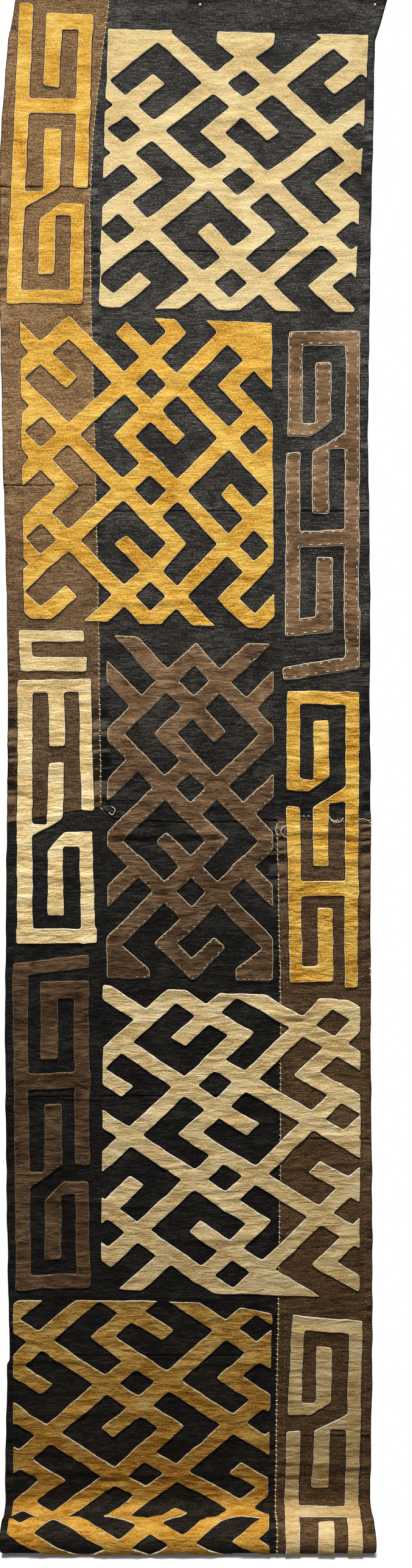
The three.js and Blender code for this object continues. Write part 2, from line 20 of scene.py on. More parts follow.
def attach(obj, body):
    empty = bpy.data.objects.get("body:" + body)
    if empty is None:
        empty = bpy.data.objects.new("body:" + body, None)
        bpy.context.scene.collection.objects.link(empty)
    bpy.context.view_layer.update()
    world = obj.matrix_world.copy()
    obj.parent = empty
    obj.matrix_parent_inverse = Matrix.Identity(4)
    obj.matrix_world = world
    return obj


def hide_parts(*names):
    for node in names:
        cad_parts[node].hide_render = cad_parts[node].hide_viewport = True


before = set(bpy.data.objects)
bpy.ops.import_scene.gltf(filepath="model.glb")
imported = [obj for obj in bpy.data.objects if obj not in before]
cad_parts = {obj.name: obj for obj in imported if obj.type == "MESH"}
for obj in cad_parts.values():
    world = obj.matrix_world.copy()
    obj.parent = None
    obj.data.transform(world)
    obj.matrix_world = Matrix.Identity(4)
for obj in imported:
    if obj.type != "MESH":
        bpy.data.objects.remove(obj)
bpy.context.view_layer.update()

# %% [markdown]
# ## Camera
# The picture is a tall, narrow one, taken straight on from about two metres. The tall side is fixed, so the
# sensor is fitted vertically. The camera comes first because it tells how large a detail is in the picture:
# here about one millimetre of cloth is one point of the picture.

# %% Camera
CAMERA_PLACE = (0.035, -2.150, -1.470)
TALL_ANGLE = math.radians(69.1)
camera_data = bpy.data.cameras.new("camera")
camera_data.sensor_fit = "VERTICAL"
camera_data.sensor_height = 36
camera_data.lens = camera_data.sensor_height / 2 / math.tan(TALL_ANGLE / 2)
camera = bpy.data.objects.new("camera", camera_data)
camera.location = CAMERA_PLACE
camera.rotation_euler = (math.pi / 2, 0, 0)
bpy.context.scene.collection.objects.link(camera)
bpy.context.scene.camera = camera
print("lens", round(camera_data.lens, 2), "mm")

# %% [markdown]
# ## The hang path
# Cloth is easiest to shape flat. A flat point has x across, drop down from the pin line, and height off the
# back face, all in millimetres. One function hangs it: a lip that leans forward above the pins, a long fall
# with a soft belly, a tuck that turns forward, and the roll. Each bend is an arc, so the map is exact.

# %% Sizes of the hang
MM = 0.001
LIP_LENGTH = 30.0
LIP_RADIUS = 36.0
TUCK_DROP = 2815.0
TUCK_RADIUS = 23.0
TUCK_TURN = math.radians(118)
ROLL_RADIUS = 26.0
NEUTRAL = 2.4
GROUND_WRAP = math.radians(268)
CENTRES_APART = TUCK_RADIUS + ROLL_RADIUS
ROLL_CENTRE = (CENTRES_APART * math.cos(TUCK_TURN) - TUCK_RADIUS,
               -TUCK_DROP - CENTRES_APART * math.sin(TUCK_TURN))
WRAP_DROP = TUCK_DROP + (TUCK_RADIUS - NEUTRAL) * TUCK_TURN
GROUND_END = WRAP_DROP + (ROLL_RADIUS + NEUTRAL) * GROUND_WRAP
BELLY_DROP = [0, 467, 956, 1540, 2058, 2546, TUCK_DROP]
BELLY_FORWARD = [0, 3, 4, 5, 4.5, 4, 0]
PINS_X = [24.0, 354.0]
print("cloth length over the roll", round(GROUND_END + LIP_LENGTH), "mm")


# %% Random relief that is the same every run
def relief(across, down, seed):
    """Smooth bumps between -1 and 1, one cell for each unit."""
    i, j = np.floor(across), np.floor(down)
    u, v = across - i, down - j
    u, v = u * u * (3 - 2 * u), v * v * (3 - 2 * v)

    def corner(di, dj):
        spread = np.sin((i + di) * 127.1 + (j + dj) * 311.7 + seed * 74.7) * 43758.5453
        return 2 * (spread - np.floor(spread)) - 1

    top = corner(0, 0) * (1 - u) + corner(1, 0) * u
    foot = corner(0, 1) * (1 - u) + corner(1, 1) * u
    return top * (1 - v) + foot * v


def fade(value, start, end):
    """0 at start, 1 at end, smooth between."""
    share = np.clip((value - start) / (end - start), 0, 1)
    return share * share * (3 - 2 * share)


# %% Main creases
# Each row: x and drop at its two ends, half width, and height, where a minus is a trough.
CREASES = [
    (-150, 22, 24, 9, 11, 1.6), (24, 9, 190, 34, 12, 1.8), (190, 34, 346, 10, 11, 1.7),
    (-120, 46, 320, 60, 16, -1.4), (365, 12, 346, 75, 8, 2.2), (352, 20, 318, 95, 9, -1.5),
    (336, 92, 350, 170, 8, -1.6), (90, 128, 92, 290, 3.5, -0.9), (98, 150, 101, 330, 3.5, 0.8),
    (24, 432, 27, 474, 3.0, -1.1), (-60, 225, 120, 212, 9, 1.3), (-10, 330, 240, 352, 10, 1.3),
    (-250, 366, -195, 372, 5, -1.2), (-330, 384, -250, 378, 6, 1.2), (60, 470, 300, 466, 7, 1.0),
    (-300, 640, -190, 652, 7, 1.1), (-120, 700, 160, 688, 10, 1.3), (120, 840, 320, 852, 9, 1.2),
    (-340, 1010, -220, 1018, 6, 1.2), (-200, 1120, 60, 1132, 9, 1.2), (-350, 1462, -316, 1466, 5, 2.0),
    (-350, 1492, -300, 1486, 5, -1.6), (-200, 1496, -60, 1502, 7, 1.4), (-60, 1502, 160, 1520, 7, 1.4),
    (-156, 1566, 82, 1563, 6, 2.2), (82, 1563, 158, 1580, 6, 1.8), (-150, 1580, 70, 1577, 5, -1.6),
    (176, 1556, 345, 1562, 5, 1.9), (180, 1572, 345, 1580, 4, -1.4), (190, 1604, 340, 1612, 6, 1.6),
    (300, 1530, 348, 1526, 5, 1.8), (-330, 1640, -140, 1652, 9, 1.4), (-160, 1850, 120, 1868, 11, 1.5),
    (110, 1905, 330, 1894, 9, 1.6), (-330, 2056, -150, 2062, 6, 1.5), (-120, 2096, 200, 2110, 10, 1.6),
    (180, 2190, 345, 2180, 8, 1.5), (-330, 2250, -60, 2262, 9, 1.6), (-60, 2330, 170, 2318, 9, 1.5),
    (-320, 2428, 150, 2440, 12, 1.6), (-330, 2552, -60, 2566, 6, 1.7), (-60, 2566, 150, 2556, 6, 1.5),
    (180, 2500, 345, 2512, 8, 1.7), (-330, 2660, -40, 2648, 9, 1.8), (-40, 2700, 170, 2712, 9, 1.8),
    (-330, 2762, 60, 2774, 7, 2.0), (160, 2742, 345, 2756, 7, 2.0), (60, 2784, 345, 2778, 6, -1.6),
]
CREASE_STRENGTH = 1.5
PIN_HOLD = 16.0


def creased(x, drop):
    """The sum of the listed creases, each wandering a little and running out at both ends."""
    total = np.zeros_like(x)
    for x0, d0, x1, d1, wide, high in CREASES:
        run = np.array([x1 - x0, d1 - d0], float)
        length = np.hypot(*run)
        run = run / length
        along = (x - x0) * run[0] + (drop - d0) * run[1]
        away = (drop - d0) * run[0] - (x - x0) * run[1] + 3.0 * relief(along / 45, 0 * along, x0)
        ends = fade(along, -0.12 * length, 0.2 * length) * fade(along, 1.12 * length, 0.8 * length)
        total = total + high * ends * np.exp(-(away / wide) ** 2)
    free = np.prod([1 - np.exp(-((x - pin) ** 2 + drop ** 2) / PIN_HOLD ** 2) for pin in PINS_X], axis=0)
    return CREASE_STRENGTH * total * free


print(len(CREASES), "creases")


# %% Belly and hang
def belly(x, drop):
    """How far the hanging cloth stands off its back plane."""
    even = np.interp(drop, BELLY_DROP, BELLY_FORWARD)
    even = even + creased(x, drop) * fade(drop, TUCK_DROP, TUCK_DROP - 25)
    slow = 1.6 * relief(x / 300, drop / 170, 1) + 0.9 * relief(x / 120, drop / 75, 2)
    hanging = fade(drop, 10, 160) * fade(drop, TUCK_DROP - 10, TUCK_DROP - 160)
    return even + 1.2 * hanging * (slow + 0.6)


def lip_line(x):
    """The lip starts on the pin line at a pin, and a little higher between pins."""
    held = sum(np.exp(-((x - pin) / 55) ** 2) for pin in PINS_X)
    return 9 * (1 - np.clip(held, 0, 1))


def hang(x, drop, height):
    """Flat points, in millimetres, to hung points, in metres."""
    x, drop, height = np.broadcast_arrays(np.asarray(x, float), drop, height)
    rise = lip_line(x)
    lip_turn = np.clip(-(drop + rise), 0, None) / LIP_RADIUS
    lip_y = (LIP_RADIUS - height) * np.cos(lip_turn) - LIP_RADIUS
    lip_z = rise + (LIP_RADIUS - height) * np.sin(lip_turn)
    tuck_turn = np.clip(drop - TUCK_DROP, 0, None) / (TUCK_RADIUS - NEUTRAL)
    tuck_y = (TUCK_RADIUS - height) * np.cos(tuck_turn) - TUCK_RADIUS
    tuck_z = -TUCK_DROP - (TUCK_RADIUS - height) * np.sin(tuck_turn)
    roll_turn = TUCK_TURN - (drop - WRAP_DROP) / (ROLL_RADIUS + NEUTRAL)
    roll_y = ROLL_CENTRE[0] - (ROLL_RADIUS + height) * np.cos(roll_turn)
    roll_z = ROLL_CENTRE[1] + (ROLL_RADIUS + height) * np.sin(roll_turn)
    zones = [drop < -rise, drop <= TUCK_DROP, drop <= WRAP_DROP]
    y = np.select(zones, [lip_y, -height - belly(x, drop), tuck_y], roll_y)
    z = np.select(zones, [lip_z, -drop, tuck_z], roll_z)
    return np.stack([x, y, z], axis=-1) * MM


print("roll front", hang(0, WRAP_DROP + (ROLL_RADIUS + NEUTRAL) * TUCK_TURN, 1.4).round(4))

# %% [markdown]
# ## From flat bmesh to hung piece
# A flat bmesh lies in its own XY plane, with x across and y up. These helpers give it its heights, hang it,
# and keep two things for the materials: a UV map in metres of flat cloth, so that the weave follows the roll,
# and the distance from the cut edge.


# %% Finish a flat bmesh as a hung piece
def new_piece(name, data):
    """An object that rides on the cloth's one body."""
    piece = bpy.data.objects.new(name, data)
    bpy.context.scene.collection.objects.link(piece)
    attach(piece, "root")
    return piece


def smooth(mesh):
    mesh.polygons.foreach_set("use_smooth", np.ones(len(mesh.polygons), bool))


def store(mesh, name, values):
    """Keeps a number for each point, for a material to read."""
    stored = mesh.attributes.new(name, "FLOAT", "POINT")
    stored.data.foreach_set("value", np.asarray(values, np.float32))


def cloth_mesh(name, bm, hung, flat, gap):
    """The bmesh with its points hung, and what the materials read."""
    mesh = bpy.data.meshes.new(name)
    bm.to_mesh(mesh)
    bm.free()
    mesh.vertices.foreach_set("co", hung.astype(np.float32).ravel())
    corner = np.empty(len(mesh.loops), np.int32)
    mesh.loops.foreach_get("vertex_index", corner)
    weave = flat[corner] * MM
    mesh.uv_layers.new(name="weave").data.foreach_set("uv", weave.astype(np.float32).ravel())
    store(mesh, "edge_gap", gap)
    smooth(mesh)
    mesh.update()
    return mesh


def finish_sheet(name, bm, front_height, back_height, edge_gap):
    """Hangs a closed flat bmesh, whose back lies below 0."""
    flat = np.array([v.co for v in bm.verts])
    upper = flat[:, 2] > -0.5
    x, drop = flat[:, 0], -flat[:, 1]
    gap = edge_gap(x, drop)
    height = np.where(upper, front_height(x, drop, gap), back_height(x, drop, gap))
    mesh = cloth_mesh(name, bm, hang(x, drop, height), flat[:, :2], gap)
    print(name, len(mesh.polygons), "faces")
    return new_piece(name, mesh)

# %% [markdown]
# ## Raffia
# Raffia is stiff leaf strip, woven plain. It has long slubs along the weft, short lighter dashes where a
# strip lies on top, fainter upright strips, and dye that took unevenly. Each of these is a noise stretched
# along the thread. One function mixes them. The colours and amounts differ from cloth to cloth. Each cloth's
# colour also changes from the top of the cloth to its foot, mostly darker towards the foot. Just above the
# tuck, and for the gold also under the roll, this change is painted shade. The wrinkles are painted too, as
# painted shade in their valleys and painted highlight on their ridges. A painted rim runs along each cut
# edge: painted highlight on the cut-outs and painted shade on the ground panels.


# %% Node helpers
def link_into(tree, socket, value):
    """A number or a colour is set on the socket, and another node's output is linked."""
    if isinstance(value, bpy.types.NodeSocket):
        tree.links.new(value, socket)
    else:
        socket.default_value = value


def math_node(tree, operation, first, second, third=0.0):
    node = tree.nodes.new("ShaderNodeMath")
    node.operation = operation
    for socket, value in zip(node.inputs, (first, second, third)):
        link_into(tree, socket, value)
    return node.outputs[0]


def vector_node(tree, operation, first, second):
    node = tree.nodes.new("ShaderNodeVectorMath")
    node.operation = operation
    link_into(tree, node.inputs[0], first)
    link_into(tree, node.inputs[1], second)
    return node.outputs[0]


def stretched(tree, uv, across, down, detail=2.0, distortion=0.0):
    """Noise with so many cells in a metre of cloth, across and down."""
    noise = tree.nodes.new("ShaderNodeTexNoise")
    noise.noise_dimensions = "2D"
    noise.inputs["Scale"].default_value = 1
    noise.inputs["Detail"].default_value = detail
    noise.inputs["Distortion"].default_value = distortion
    tree.links.new(vector_node(tree, "MULTIPLY", uv, (across, down, 1)), noise.inputs["Vector"])
    return math_node(tree, "SUBTRACT", noise.outputs["Fac"], 0.5)


def weighted(tree, terms):
    """The sum of noises, each times its weight."""
    total = 0.0
    for output, weight in terms:
        total = math_node(tree, "MULTIPLY_ADD", output, weight, total)
    return total


def mixed(tree, share, first, second):
    node = tree.nodes.new("ShaderNodeMix")
    node.data_type = "RGBA"
    link_into(tree, node.inputs[0], share)
    link_into(tree, node.inputs[6], first)
    link_into(tree, node.inputs[7], second)
    return node.outputs[2]


def ranged(tree, value, low, high, out_low, out_high):
    node = tree.nodes.new("ShaderNodeMapRange")
    link_into(tree, node.inputs["Value"], value)
    for socket, number in zip(list(node.inputs)[1:5], (low, high, out_low, out_high)):
        socket.default_value = number
    return node.outputs[0]


def ramped(tree, value, stops):
    """A colour ramp from rows of position and colour."""
    ramp = tree.nodes.new("ShaderNodeValToRGB")
    elements = ramp.color_ramp.elements
    elements.remove(elements[1])
    elements[0].position, elements[0].color = stops[0]
    for position, colour in stops[1:]:
        elements.new(position).color = colour
    tree.links.new(value, ramp.inputs[0])
    return ramp.outputs[0]


def point_value(tree, name):
    """What the piece keeps for each point under this name, or 0."""
    node = tree.nodes.new("ShaderNodeAttribute")
    node.attribute_name = name
    return node.outputs["Fac"]


def linear(level):
    share = level / 255
    return ((share + 0.055) / 1.055) ** 2.4 if level > 10 else share / 12.92


def rgb(red, green, blue):
    """A colour as a picture program names it, 0 to 255, to the linear values that a shader takes."""
    return tuple(linear(level) for level in (red, green, blue)) + (1,)


def new_material(name, roughness, gloss):
    material = bpy.data.materials.new(name)
    material.use_nodes = True
    shader = material.node_tree.nodes["Principled BSDF"]
    shader.inputs["Roughness"].default_value = roughness
    shader.inputs["Specular IOR Level"].default_value = gloss
    return material, material.node_tree, shader


# %% The raffia material
CLOTH_LENGTH = 3.0
# How far the painted rim may darken with the fall. The rim is painted highlight on the cut-outs and painted
# shade on the ground panels.
PAINTED_RIM_LEAST = 0.5
GRAIN_TONE = 0.25
# How strongly the hem pleats are painted: painted highlight on their ridges, painted shade in their valleys.
PLEAT_HIGHLIGHT_AND_SHADE = 0.55
BUMP_DEPTH = 0.0028
WRINKLE_BUMP = 3.2


def raffia(name, dark, middle, light, edge, fall_and_shade, slub, dash, upright, blotch, wrinkle_shade_and_bump, painted_rim_width, bump):
    """The table of the fall has rows of drop, in metres, and how much of the colour's red, green and blue is
    left there. It is mostly less towards the foot, and it is painted shade just above the tuck and, for the
    gold, under the roll. edge is the colour of a painted rim along the cut edge: painted highlight on the
    cut-outs, painted shade on the ground panels. The wrinkle weight sets both their bump and their painted
    shade and highlight.
    """
    material, tree, shader = new_material(name, 0.9, 0.15)
    uv_node = tree.nodes.new("ShaderNodeUVMap")
    uv_node.uv_map = "weave"
    uv = uv_node.outputs[0]
    split = tree.nodes.new("ShaderNodeSeparateXYZ")
    tree.links.new(uv, split.inputs[0])
    down = split.outputs["Y"]
    slubs = stretched(tree, uv, 56, 480, 2, 0.5)
    dashes = stretched(tree, uv, 260, 680)
    uprights = stretched(tree, uv, 680, 150)
    blotches = stretched(tree, uv, 11, 15, 3, 0.4)
    grain = stretched(tree, uv, 800, 800, 1)
    strain = ranged(tree, down, -1.5, -0.6, 1, 0.4)
    # The wrinkles shape the bump and also the colour: painted shade in their valleys and painted highlight on
    # their ridges.
    wrinkles = math_node(tree, "MULTIPLY", stretched(tree, uv, 30, 112, 2, 0.6), strain)
    tone = weighted(tree, [(slubs, slub), (dashes, dash), (uprights, upright), (blotches, blotch),
                           (wrinkles, wrinkle_shade_and_bump), (grain, GRAIN_TONE),
                           (point_value(tree, "tuck"), PLEAT_HIGHLIGHT_AND_SHADE)])
    plain = ramped(tree, math_node(tree, "ADD", tone, 0.5), [(0.15, dark), (0.5, middle), (0.85, light)])
    # The colour changes down the cloth, mostly darker towards the foot. Just above the tuck and under the
    # roll, the change is painted shade.
    fallen = math_node(tree, "MULTIPLY", down, -1 / CLOTH_LENGTH)
    fall_and_shade_colour = ramped(tree, fallen, [(drop / CLOTH_LENGTH, left + (1,)) for drop, left in fall_and_shade])
    toned_and_shaded = vector_node(tree, "MULTIPLY", plain, fall_and_shade_colour)
    # A painted rim along the cut edge: painted highlight on the cut-outs, painted shade on the ground panels.
    painted_rim = ranged(tree, point_value(tree, "edge_gap"), 0.6 * painted_rim_width, painted_rim_width, 1, 0)
    uneven = ranged(tree, stretched(tree, uv, 90, 90), -0.16, 0.1, 0.3, 1)
    painted_rim_colour = mixed(tree, math_node(tree, "MAXIMUM", fall_and_shade_colour, PAINTED_RIM_LEAST), (0, 0, 0, 1), edge)
    cloth = mixed(tree, math_node(tree, "MULTIPLY", painted_rim, uneven), toned_and_shaded, painted_rim_colour)
    tree.links.new(cloth, shader.inputs["Base Color"])
    bump_node = tree.nodes.new("ShaderNodeBump")
    bump_node.inputs["Strength"].default_value = bump
    bump_node.inputs["Distance"].default_value = BUMP_DEPTH
    height = weighted(tree, [(slubs, 0.5), (dashes, 0.5), (uprights, 0.4), (grain, 0.3),
                             (wrinkles, WRINKLE_BUMP * wrinkle_shade_and_bump)])
    tree.links.new(height, bump_node.inputs["Height"])
    tree.links.new(bump_node.outputs[0], shader.inputs["Normal"])
    return material


# %% The raffia cloths
# In each table of the fall, the rows from about 2.78 m are painted shade. They darken the cloth just above
# the tuck, then turn lighter again on the roll, where the painted shade ends. For the gold, the last row is
# painted shade again under the roll.
FULL = (1, 1, 1)
# The fourth colour of each cloth is its painted rim: painted highlight for the cut-outs, painted shade for
# the black and brown ground.
BLACK = raffia(
    "black_raffia", rgb(18, 17, 17), rgb(50, 48, 45), rgb(112, 107, 99), rgb(8, 7, 7),
    fall_and_shade=[(0.8, FULL), (1.3, (0.66, 0.64, 0.6)), (1.75, (0.27, 0.27, 0.26)), (2.4, (0.2, 0.19, 0.18)),
         (2.8, (0.2, 0.16, 0.12)), (2.9, (0.3, 0.24, 0.18))],
    slub=0.8, dash=0.8, upright=0.45, blotch=0.45, wrinkle_shade_and_bump=0.45, painted_rim_width=1.6, bump=0.6)
BROWN = raffia(
    "brown_raffia", rgb(66, 46, 29), rgb(138, 106, 71), rgb(194, 156, 114), rgb(26, 18, 12),
    fall_and_shade=[(0.35, (0.88, 0.86, 0.82)), (0.85, FULL), (1.1, (0.64, 0.64, 0.66)), (1.35, (0.46, 0.47, 0.5)),
         (1.75, (0.36, 0.35, 0.36)), (2.3, (0.33, 0.31, 0.29)), (2.8, (0.24, 0.22, 0.19)),
         (2.88, (0.36, 0.33, 0.28))],
    slub=0.8, dash=1.1, upright=0.4, blotch=0.35, wrinkle_shade_and_bump=0.5, painted_rim_width=1.6, bump=0.6)
RUSSET = raffia(
    "russet_raffia", rgb(66, 45, 28), rgb(130, 100, 71), rgb(184, 148, 112), rgb(190, 158, 122),
    fall_and_shade=[(1.0, FULL), (1.5, (0.76, 0.75, 0.74)), (1.9, (0.4, 0.39, 0.36))],
    slub=0.5, dash=0.45, upright=0.25, blotch=0.75, wrinkle_shade_and_bump=0.75, painted_rim_width=1.1, bump=0.65)
GOLD = raffia(
    "gold_raffia", rgb(160, 98, 20), rgb(234, 176, 64), rgb(255, 224, 126), rgb(255, 246, 212),
    fall_and_shade=[(1.7, FULL), (2.05, (0.76, 0.78, 0.95)), (2.3, (0.54, 0.57, 0.95)), (2.55, (0.5, 0.49, 0.64)),
         (2.78, (0.4, 0.34, 0.3)), (2.86, (0.72, 0.66, 0.62)), (2.96, (0.6, 0.5, 0.36))],
    slub=0.5, dash=0.55, upright=0.6, blotch=0.65, wrinkle_shade_and_bump=0.7, painted_rim_width=1.4, bump=0.65)
CREAM = raffia(
    "cream_raffia", rgb(186, 150, 88), rgb(242, 212, 148), rgb(255, 246, 202), rgb(255, 252, 238),
    fall_and_shade=[(0.7, (0.93, 0.92, 0.9)), (1.2, (0.96, 0.93, 0.9)), (1.4, (1.11, 1.09, 1.07)),
         (1.65, (1.11, 1.09, 1.07)), (1.85, (0.93, 0.9, 0.89)), (2.2, (0.8, 0.77, 0.75)),
         (2.6, (0.56, 0.52, 0.48)), (2.79, (0.42, 0.37, 0.33)), (2.87, (0.76, 0.7, 0.64))],
    slub=0.45, dash=0.45, upright=0.6, blotch=0.6, wrinkle_shade_and_bump=0.6, painted_rim_width=1.4, bump=0.6)
print("raffia materials", [m.name for m in (BLACK, BROWN, RUSSET, GOLD, CREAM)])

# %% [markdown]
# ## Ground panels
# Each panel is a piece of plain weave whose edges follow the uneven hang of the cloth. A grid operator makes
# the flat panel. Its columns are spread so that there are enough of them at the hems and seams, where the
# cloth folds, and fewer in the plain middle. The hems are drawn up into small pleats, and the pleats are kept
# for the material too, which paints their ridges paler as painted highlight and their valleys darker as
# painted shade.

# %% Edges and seams of the ground
# Each row: drop, left edge, right edge.
OUTLINE = [
    (-30, -321, 383), (34, -332, 365), (69, -338, 353), (218, -351, 351), (334, -354, 348),
    (540, -354, 343), (816, -348, 340), (1092, -341, 344), (1311, -337, 343), (1598, -340, 345),
    (1943, -343, 345), (2288, -340, 348), (2518, -335, 348), (2556, -334.5, 348), (2563, -339, 348),
    (2772, -344, 345), (GROUND_END, -340, 346),
]
OUTLINE_DROP, OUTLINE_LEFT, OUTLINE_RIGHT = zip(*OUTLINE)
UPPER_SEAM = ([-30, 115, 241, 368, 540, 793, 1254, 1560], [-145, -164, -177, -184, -182, -175, -166, -162])
LOWER_SEAM = ([1500, 1828, 2174, 2518, GROUND_END], [168, 175, 175, 170, 164])
CROSS_SEAM = ([-360, -163, -140, -9, 168, 360], [1548, 1514, 1536, 1543, 1539, 1536])
SEAM_GAP = -0.4


def wavy_line(drops, places, wave, cell, seed):
    """A line down the cloth, with small waves."""
    return lambda drop: np.interp(drop, drops, places) + wave * relief(drop / cell, 0 * drop, seed)


outline_left = wavy_line(OUTLINE_DROP, OUTLINE_LEFT, 0.8, 31, 11)
outline_right = wavy_line(OUTLINE_DROP, OUTLINE_RIGHT, 0.8, 31, 12)
upper_seam = wavy_line(*UPPER_SEAM, 0.7, 43, 13)
lower_seam = wavy_line(*LOWER_SEAM, 0.7, 43, 14)


def cross_seam(x):
    return np.interp(x, *CROSS_SEAM)


# Each row: left edge, right edge, cloth, slot.
COLUMNS = {
    "upper_left": (outline_left, upper_seam, BROWN, "raffia_brown"),
    "upper_right": (upper_seam, outline_right, BLACK, "raffia_black"),
    "lower_left": (outline_left, lower_seam, BLACK, "raffia_black"),
    "lower_right": (lower_seam, outline_right, BROWN, "raffia_brown"),
}
# Each row: column, upper end, lower end.
PANELS = {
    "brown_left_top": ("upper_left", -LIP_LENGTH, 345),
    "brown_left_middle": ("upper_left", 345, 908),
    "brown_left_low": ("upper_left", 908, cross_seam),
    "black_upper_top": ("upper_right", -LIP_LENGTH, 467),
    "black_upper_middle": ("upper_right", 467, 956),
    "black_upper_low": ("upper_right", 956, cross_seam),
    "black_lower_top": ("lower_left", cross_seam, 2058),
    "black_lower_middle": ("lower_left", 2058, 2546),
    "black_lower_end": ("lower_left", 2546, GROUND_END),
    "brown_right_top": ("lower_right", cross_seam, 2138),
    "brown_right_middle": ("lower_right", 2138, 2698),
    "brown_right_end": ("lower_right", 2698, GROUND_END),
}
print(len(PANELS), "panels")

# %% Spread of the grid lines
EDGE_LINES = [0, 0.7, 1.6, 3, 5, 8, 11, 12.5, 14, 15.5, 18, 22]
CLEAR = EDGE_LINES[-1] + 4


def grid_lines(length, step):
    """Offsets from the first edge, from the last edge, or a share between, as rows of (share, offset)."""
    inner = max(2, round((length - 2 * CLEAR) / step))
    shares = np.linspace(0, 1, inner + 1)
    between = [(s, CLEAR * (1 - 2 * s)) for s in shares]
    return np.array([(0, e) for e in EDGE_LINES] + between + [(1, -e) for e in reversed(EDGE_LINES)])


def at_end(end, x):
    return end(x) if callable(end) else np.full_like(x, float(end))


GRID_ACROSS = 12.5
GRID_DOWN = 2.7


def panel_grid(name):
    """A flat grid between the panel's two side edges and its two ends."""
    column, start, stop = PANELS[name]
    left, right = COLUMNS[column][:2]
    middle = np.array([0.0])
    nominal_start = at_end(start, middle)[0]
    nominal_stop = at_end(stop, middle)[0]
    width = float(right(nominal_start + 100) - left(nominal_start + 100))
    across = grid_lines(width, GRID_ACROSS)
    down = grid_lines(nominal_stop - nominal_start, GRID_DOWN)
    bm = bmesh.new()
    bmesh.ops.create_grid(bm, x_segments=len(across) - 1, y_segments=len(down) - 1, size=0.5)
    place = np.array([v.co for v in bm.verts]) + 0.5
    i = np.rint(place[:, 0] * (len(across) - 1)).astype(int)
    j = np.rint((1 - place[:, 1]) * (len(down) - 1)).astype(int)
    rough = nominal_start + down[j, 0] * (nominal_stop - nominal_start) + down[j, 1]
    low, high = left(rough) + SEAM_GAP, right(rough) - SEAM_GAP
    x = low + across[i, 0] * (high - low) + across[i, 1]
    first = at_end(start, x) + SEAM_GAP
    last = at_end(stop, x) - SEAM_GAP
    drop = first + down[j, 0] * (last - first) + down[j, 1]
    for v, vx, vd in zip(bm.verts, x, drop):
        v.co = (vx, -vd, 0)
    area = sum(f.calc_area() for f in bm.faces)
    bmesh.ops.recalc_face_normals(bm, faces=bm.faces[:])
    if bm.faces[:][0].normal.z < 0:
        bmesh.ops.reverse_faces(bm, faces=bm.faces[:])
    bmesh.ops.solidify(bm, geom=bm.faces[:], thickness=1)
    top = max(v.co.z for v in bm.verts)
    bmesh.ops.translate(bm, vec=(0, 0, -top), verts=bm.verts[:])
    return bm, area


# %% Relief of a ground panel
GROUND = 1.4


def panel_gaps(name, x, drop):
    """Distances to the left, right, upper and lower edge."""
    column, start, stop = PANELS[name]
    left, right = COLUMNS[column][:2]
    return x - left(drop), right(drop) - x, drop - at_end(start, x), at_end(stop, x) - drop


def ground_gap(name):
    return lambda x, drop: np.clip(np.min(panel_gaps(name, x, drop), axis=0), 0, None)


def woven_ripple(x, drop):
    """Weft slubs and small cross puckers that every ground panel has."""
    strength = 0.6 + 0.4 * relief(x / 90, drop / 120, 23)
    sway = drop + 5 * relief(x / 55, drop / 70, 24)
    ripple = strength * (0.8 * relief(x / 60, sway / 6, 21) + 0.6 * relief(x / 38, sway / 10, 22))
    return np.where(ripple < 0, 0.45 * ripple, ripple)


def pin_dent(x, drop):
    return sum(-0.7 * np.exp(-((x - pin) ** 2 + drop ** 2) / 49) for pin in PINS_X)


LEFT_GATHER = 1430
RIGHT_GATHER = 1590
GATHER_SPREAD = 80
HEM = 13.6


def hem_tucks(name, x, drop):
    """Small pleats across the side hems, drawn up most where the sewing thread is tight."""
    to_left, to_right = panel_gaps(name, x, drop)[:2]
    tightest = np.where(x < 0, LEFT_GATHER, RIGHT_GATHER)
    tight = 0.3 + 0.3 * relief(drop / 70, np.sign(x), 26)
    tight = tight + 2.8 * np.exp(-((drop - tightest) / GATHER_SPREAD) ** 2)
    pleat = relief(drop / 6.5 + x / 60, np.sign(x), 27)
    return tight * pleat * (1 - fade(np.minimum(to_left, to_right), 8, 22))


def ground_front(name):
    def height(x, drop, gap):
        to_left, to_right, to_top, to_foot = panel_gaps(name, x, drop)
        side = np.minimum(to_left, to_right)
        fold = 0.6 * (1 - fade(side, 13, 16))
        stitch_line = -0.8 * np.exp(-((side - HEM) / 1.2) ** 2)
        seam = 0.7 * np.exp(-((np.minimum(to_top, to_foot) - 4) / 3.2) ** 2)
        turned_under = -1.1 * (1 - fade(gap, 0, 2.2))
        tuck = hem_tucks(name, x, drop)
        gather = np.where(tuck > 0, tuck, 0.2 * tuck)
        return (GROUND + woven_ripple(x, drop) + fold + stitch_line + seam + turned_under + gather * 0.9
                + pin_dent(x, drop))

    return height


def ground_back(x, drop, gap):
    return np.full_like(x, 0.05)


# %% Make the ground panels
for name, (column, _, _) in PANELS.items():
    bm, flat_area = panel_grid(name)
    xs = [v.co.x for v in bm.verts]
    ys = [v.co.y for v in bm.verts]
    # The pleats are kept for the material, which paints their ridges paler as painted highlight and their
    # valleys darker as painted shade.
    tuck = np.clip(hem_tucks(name, np.array(xs), -np.array(ys)), -1, 1)
    piece = finish_sheet(name + "_cloth", bm, ground_front(name), ground_back, ground_gap(name))
    store(piece.data, "tuck", tuck)
    piece.data.materials.append(COLUMNS[column][2])
    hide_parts(name)

# %% [markdown]
# ## Cut-out pieces
# The cut-outs are already drawn in the CAD nodes. A copy of a node's front is laid flat again. Its outline is
# divided and softened, as scissors and a turned-in edge leave it. The outline is then filled with a net of
# triangles, close together down the cloth, so that it can pucker across as the sewn cloth does.

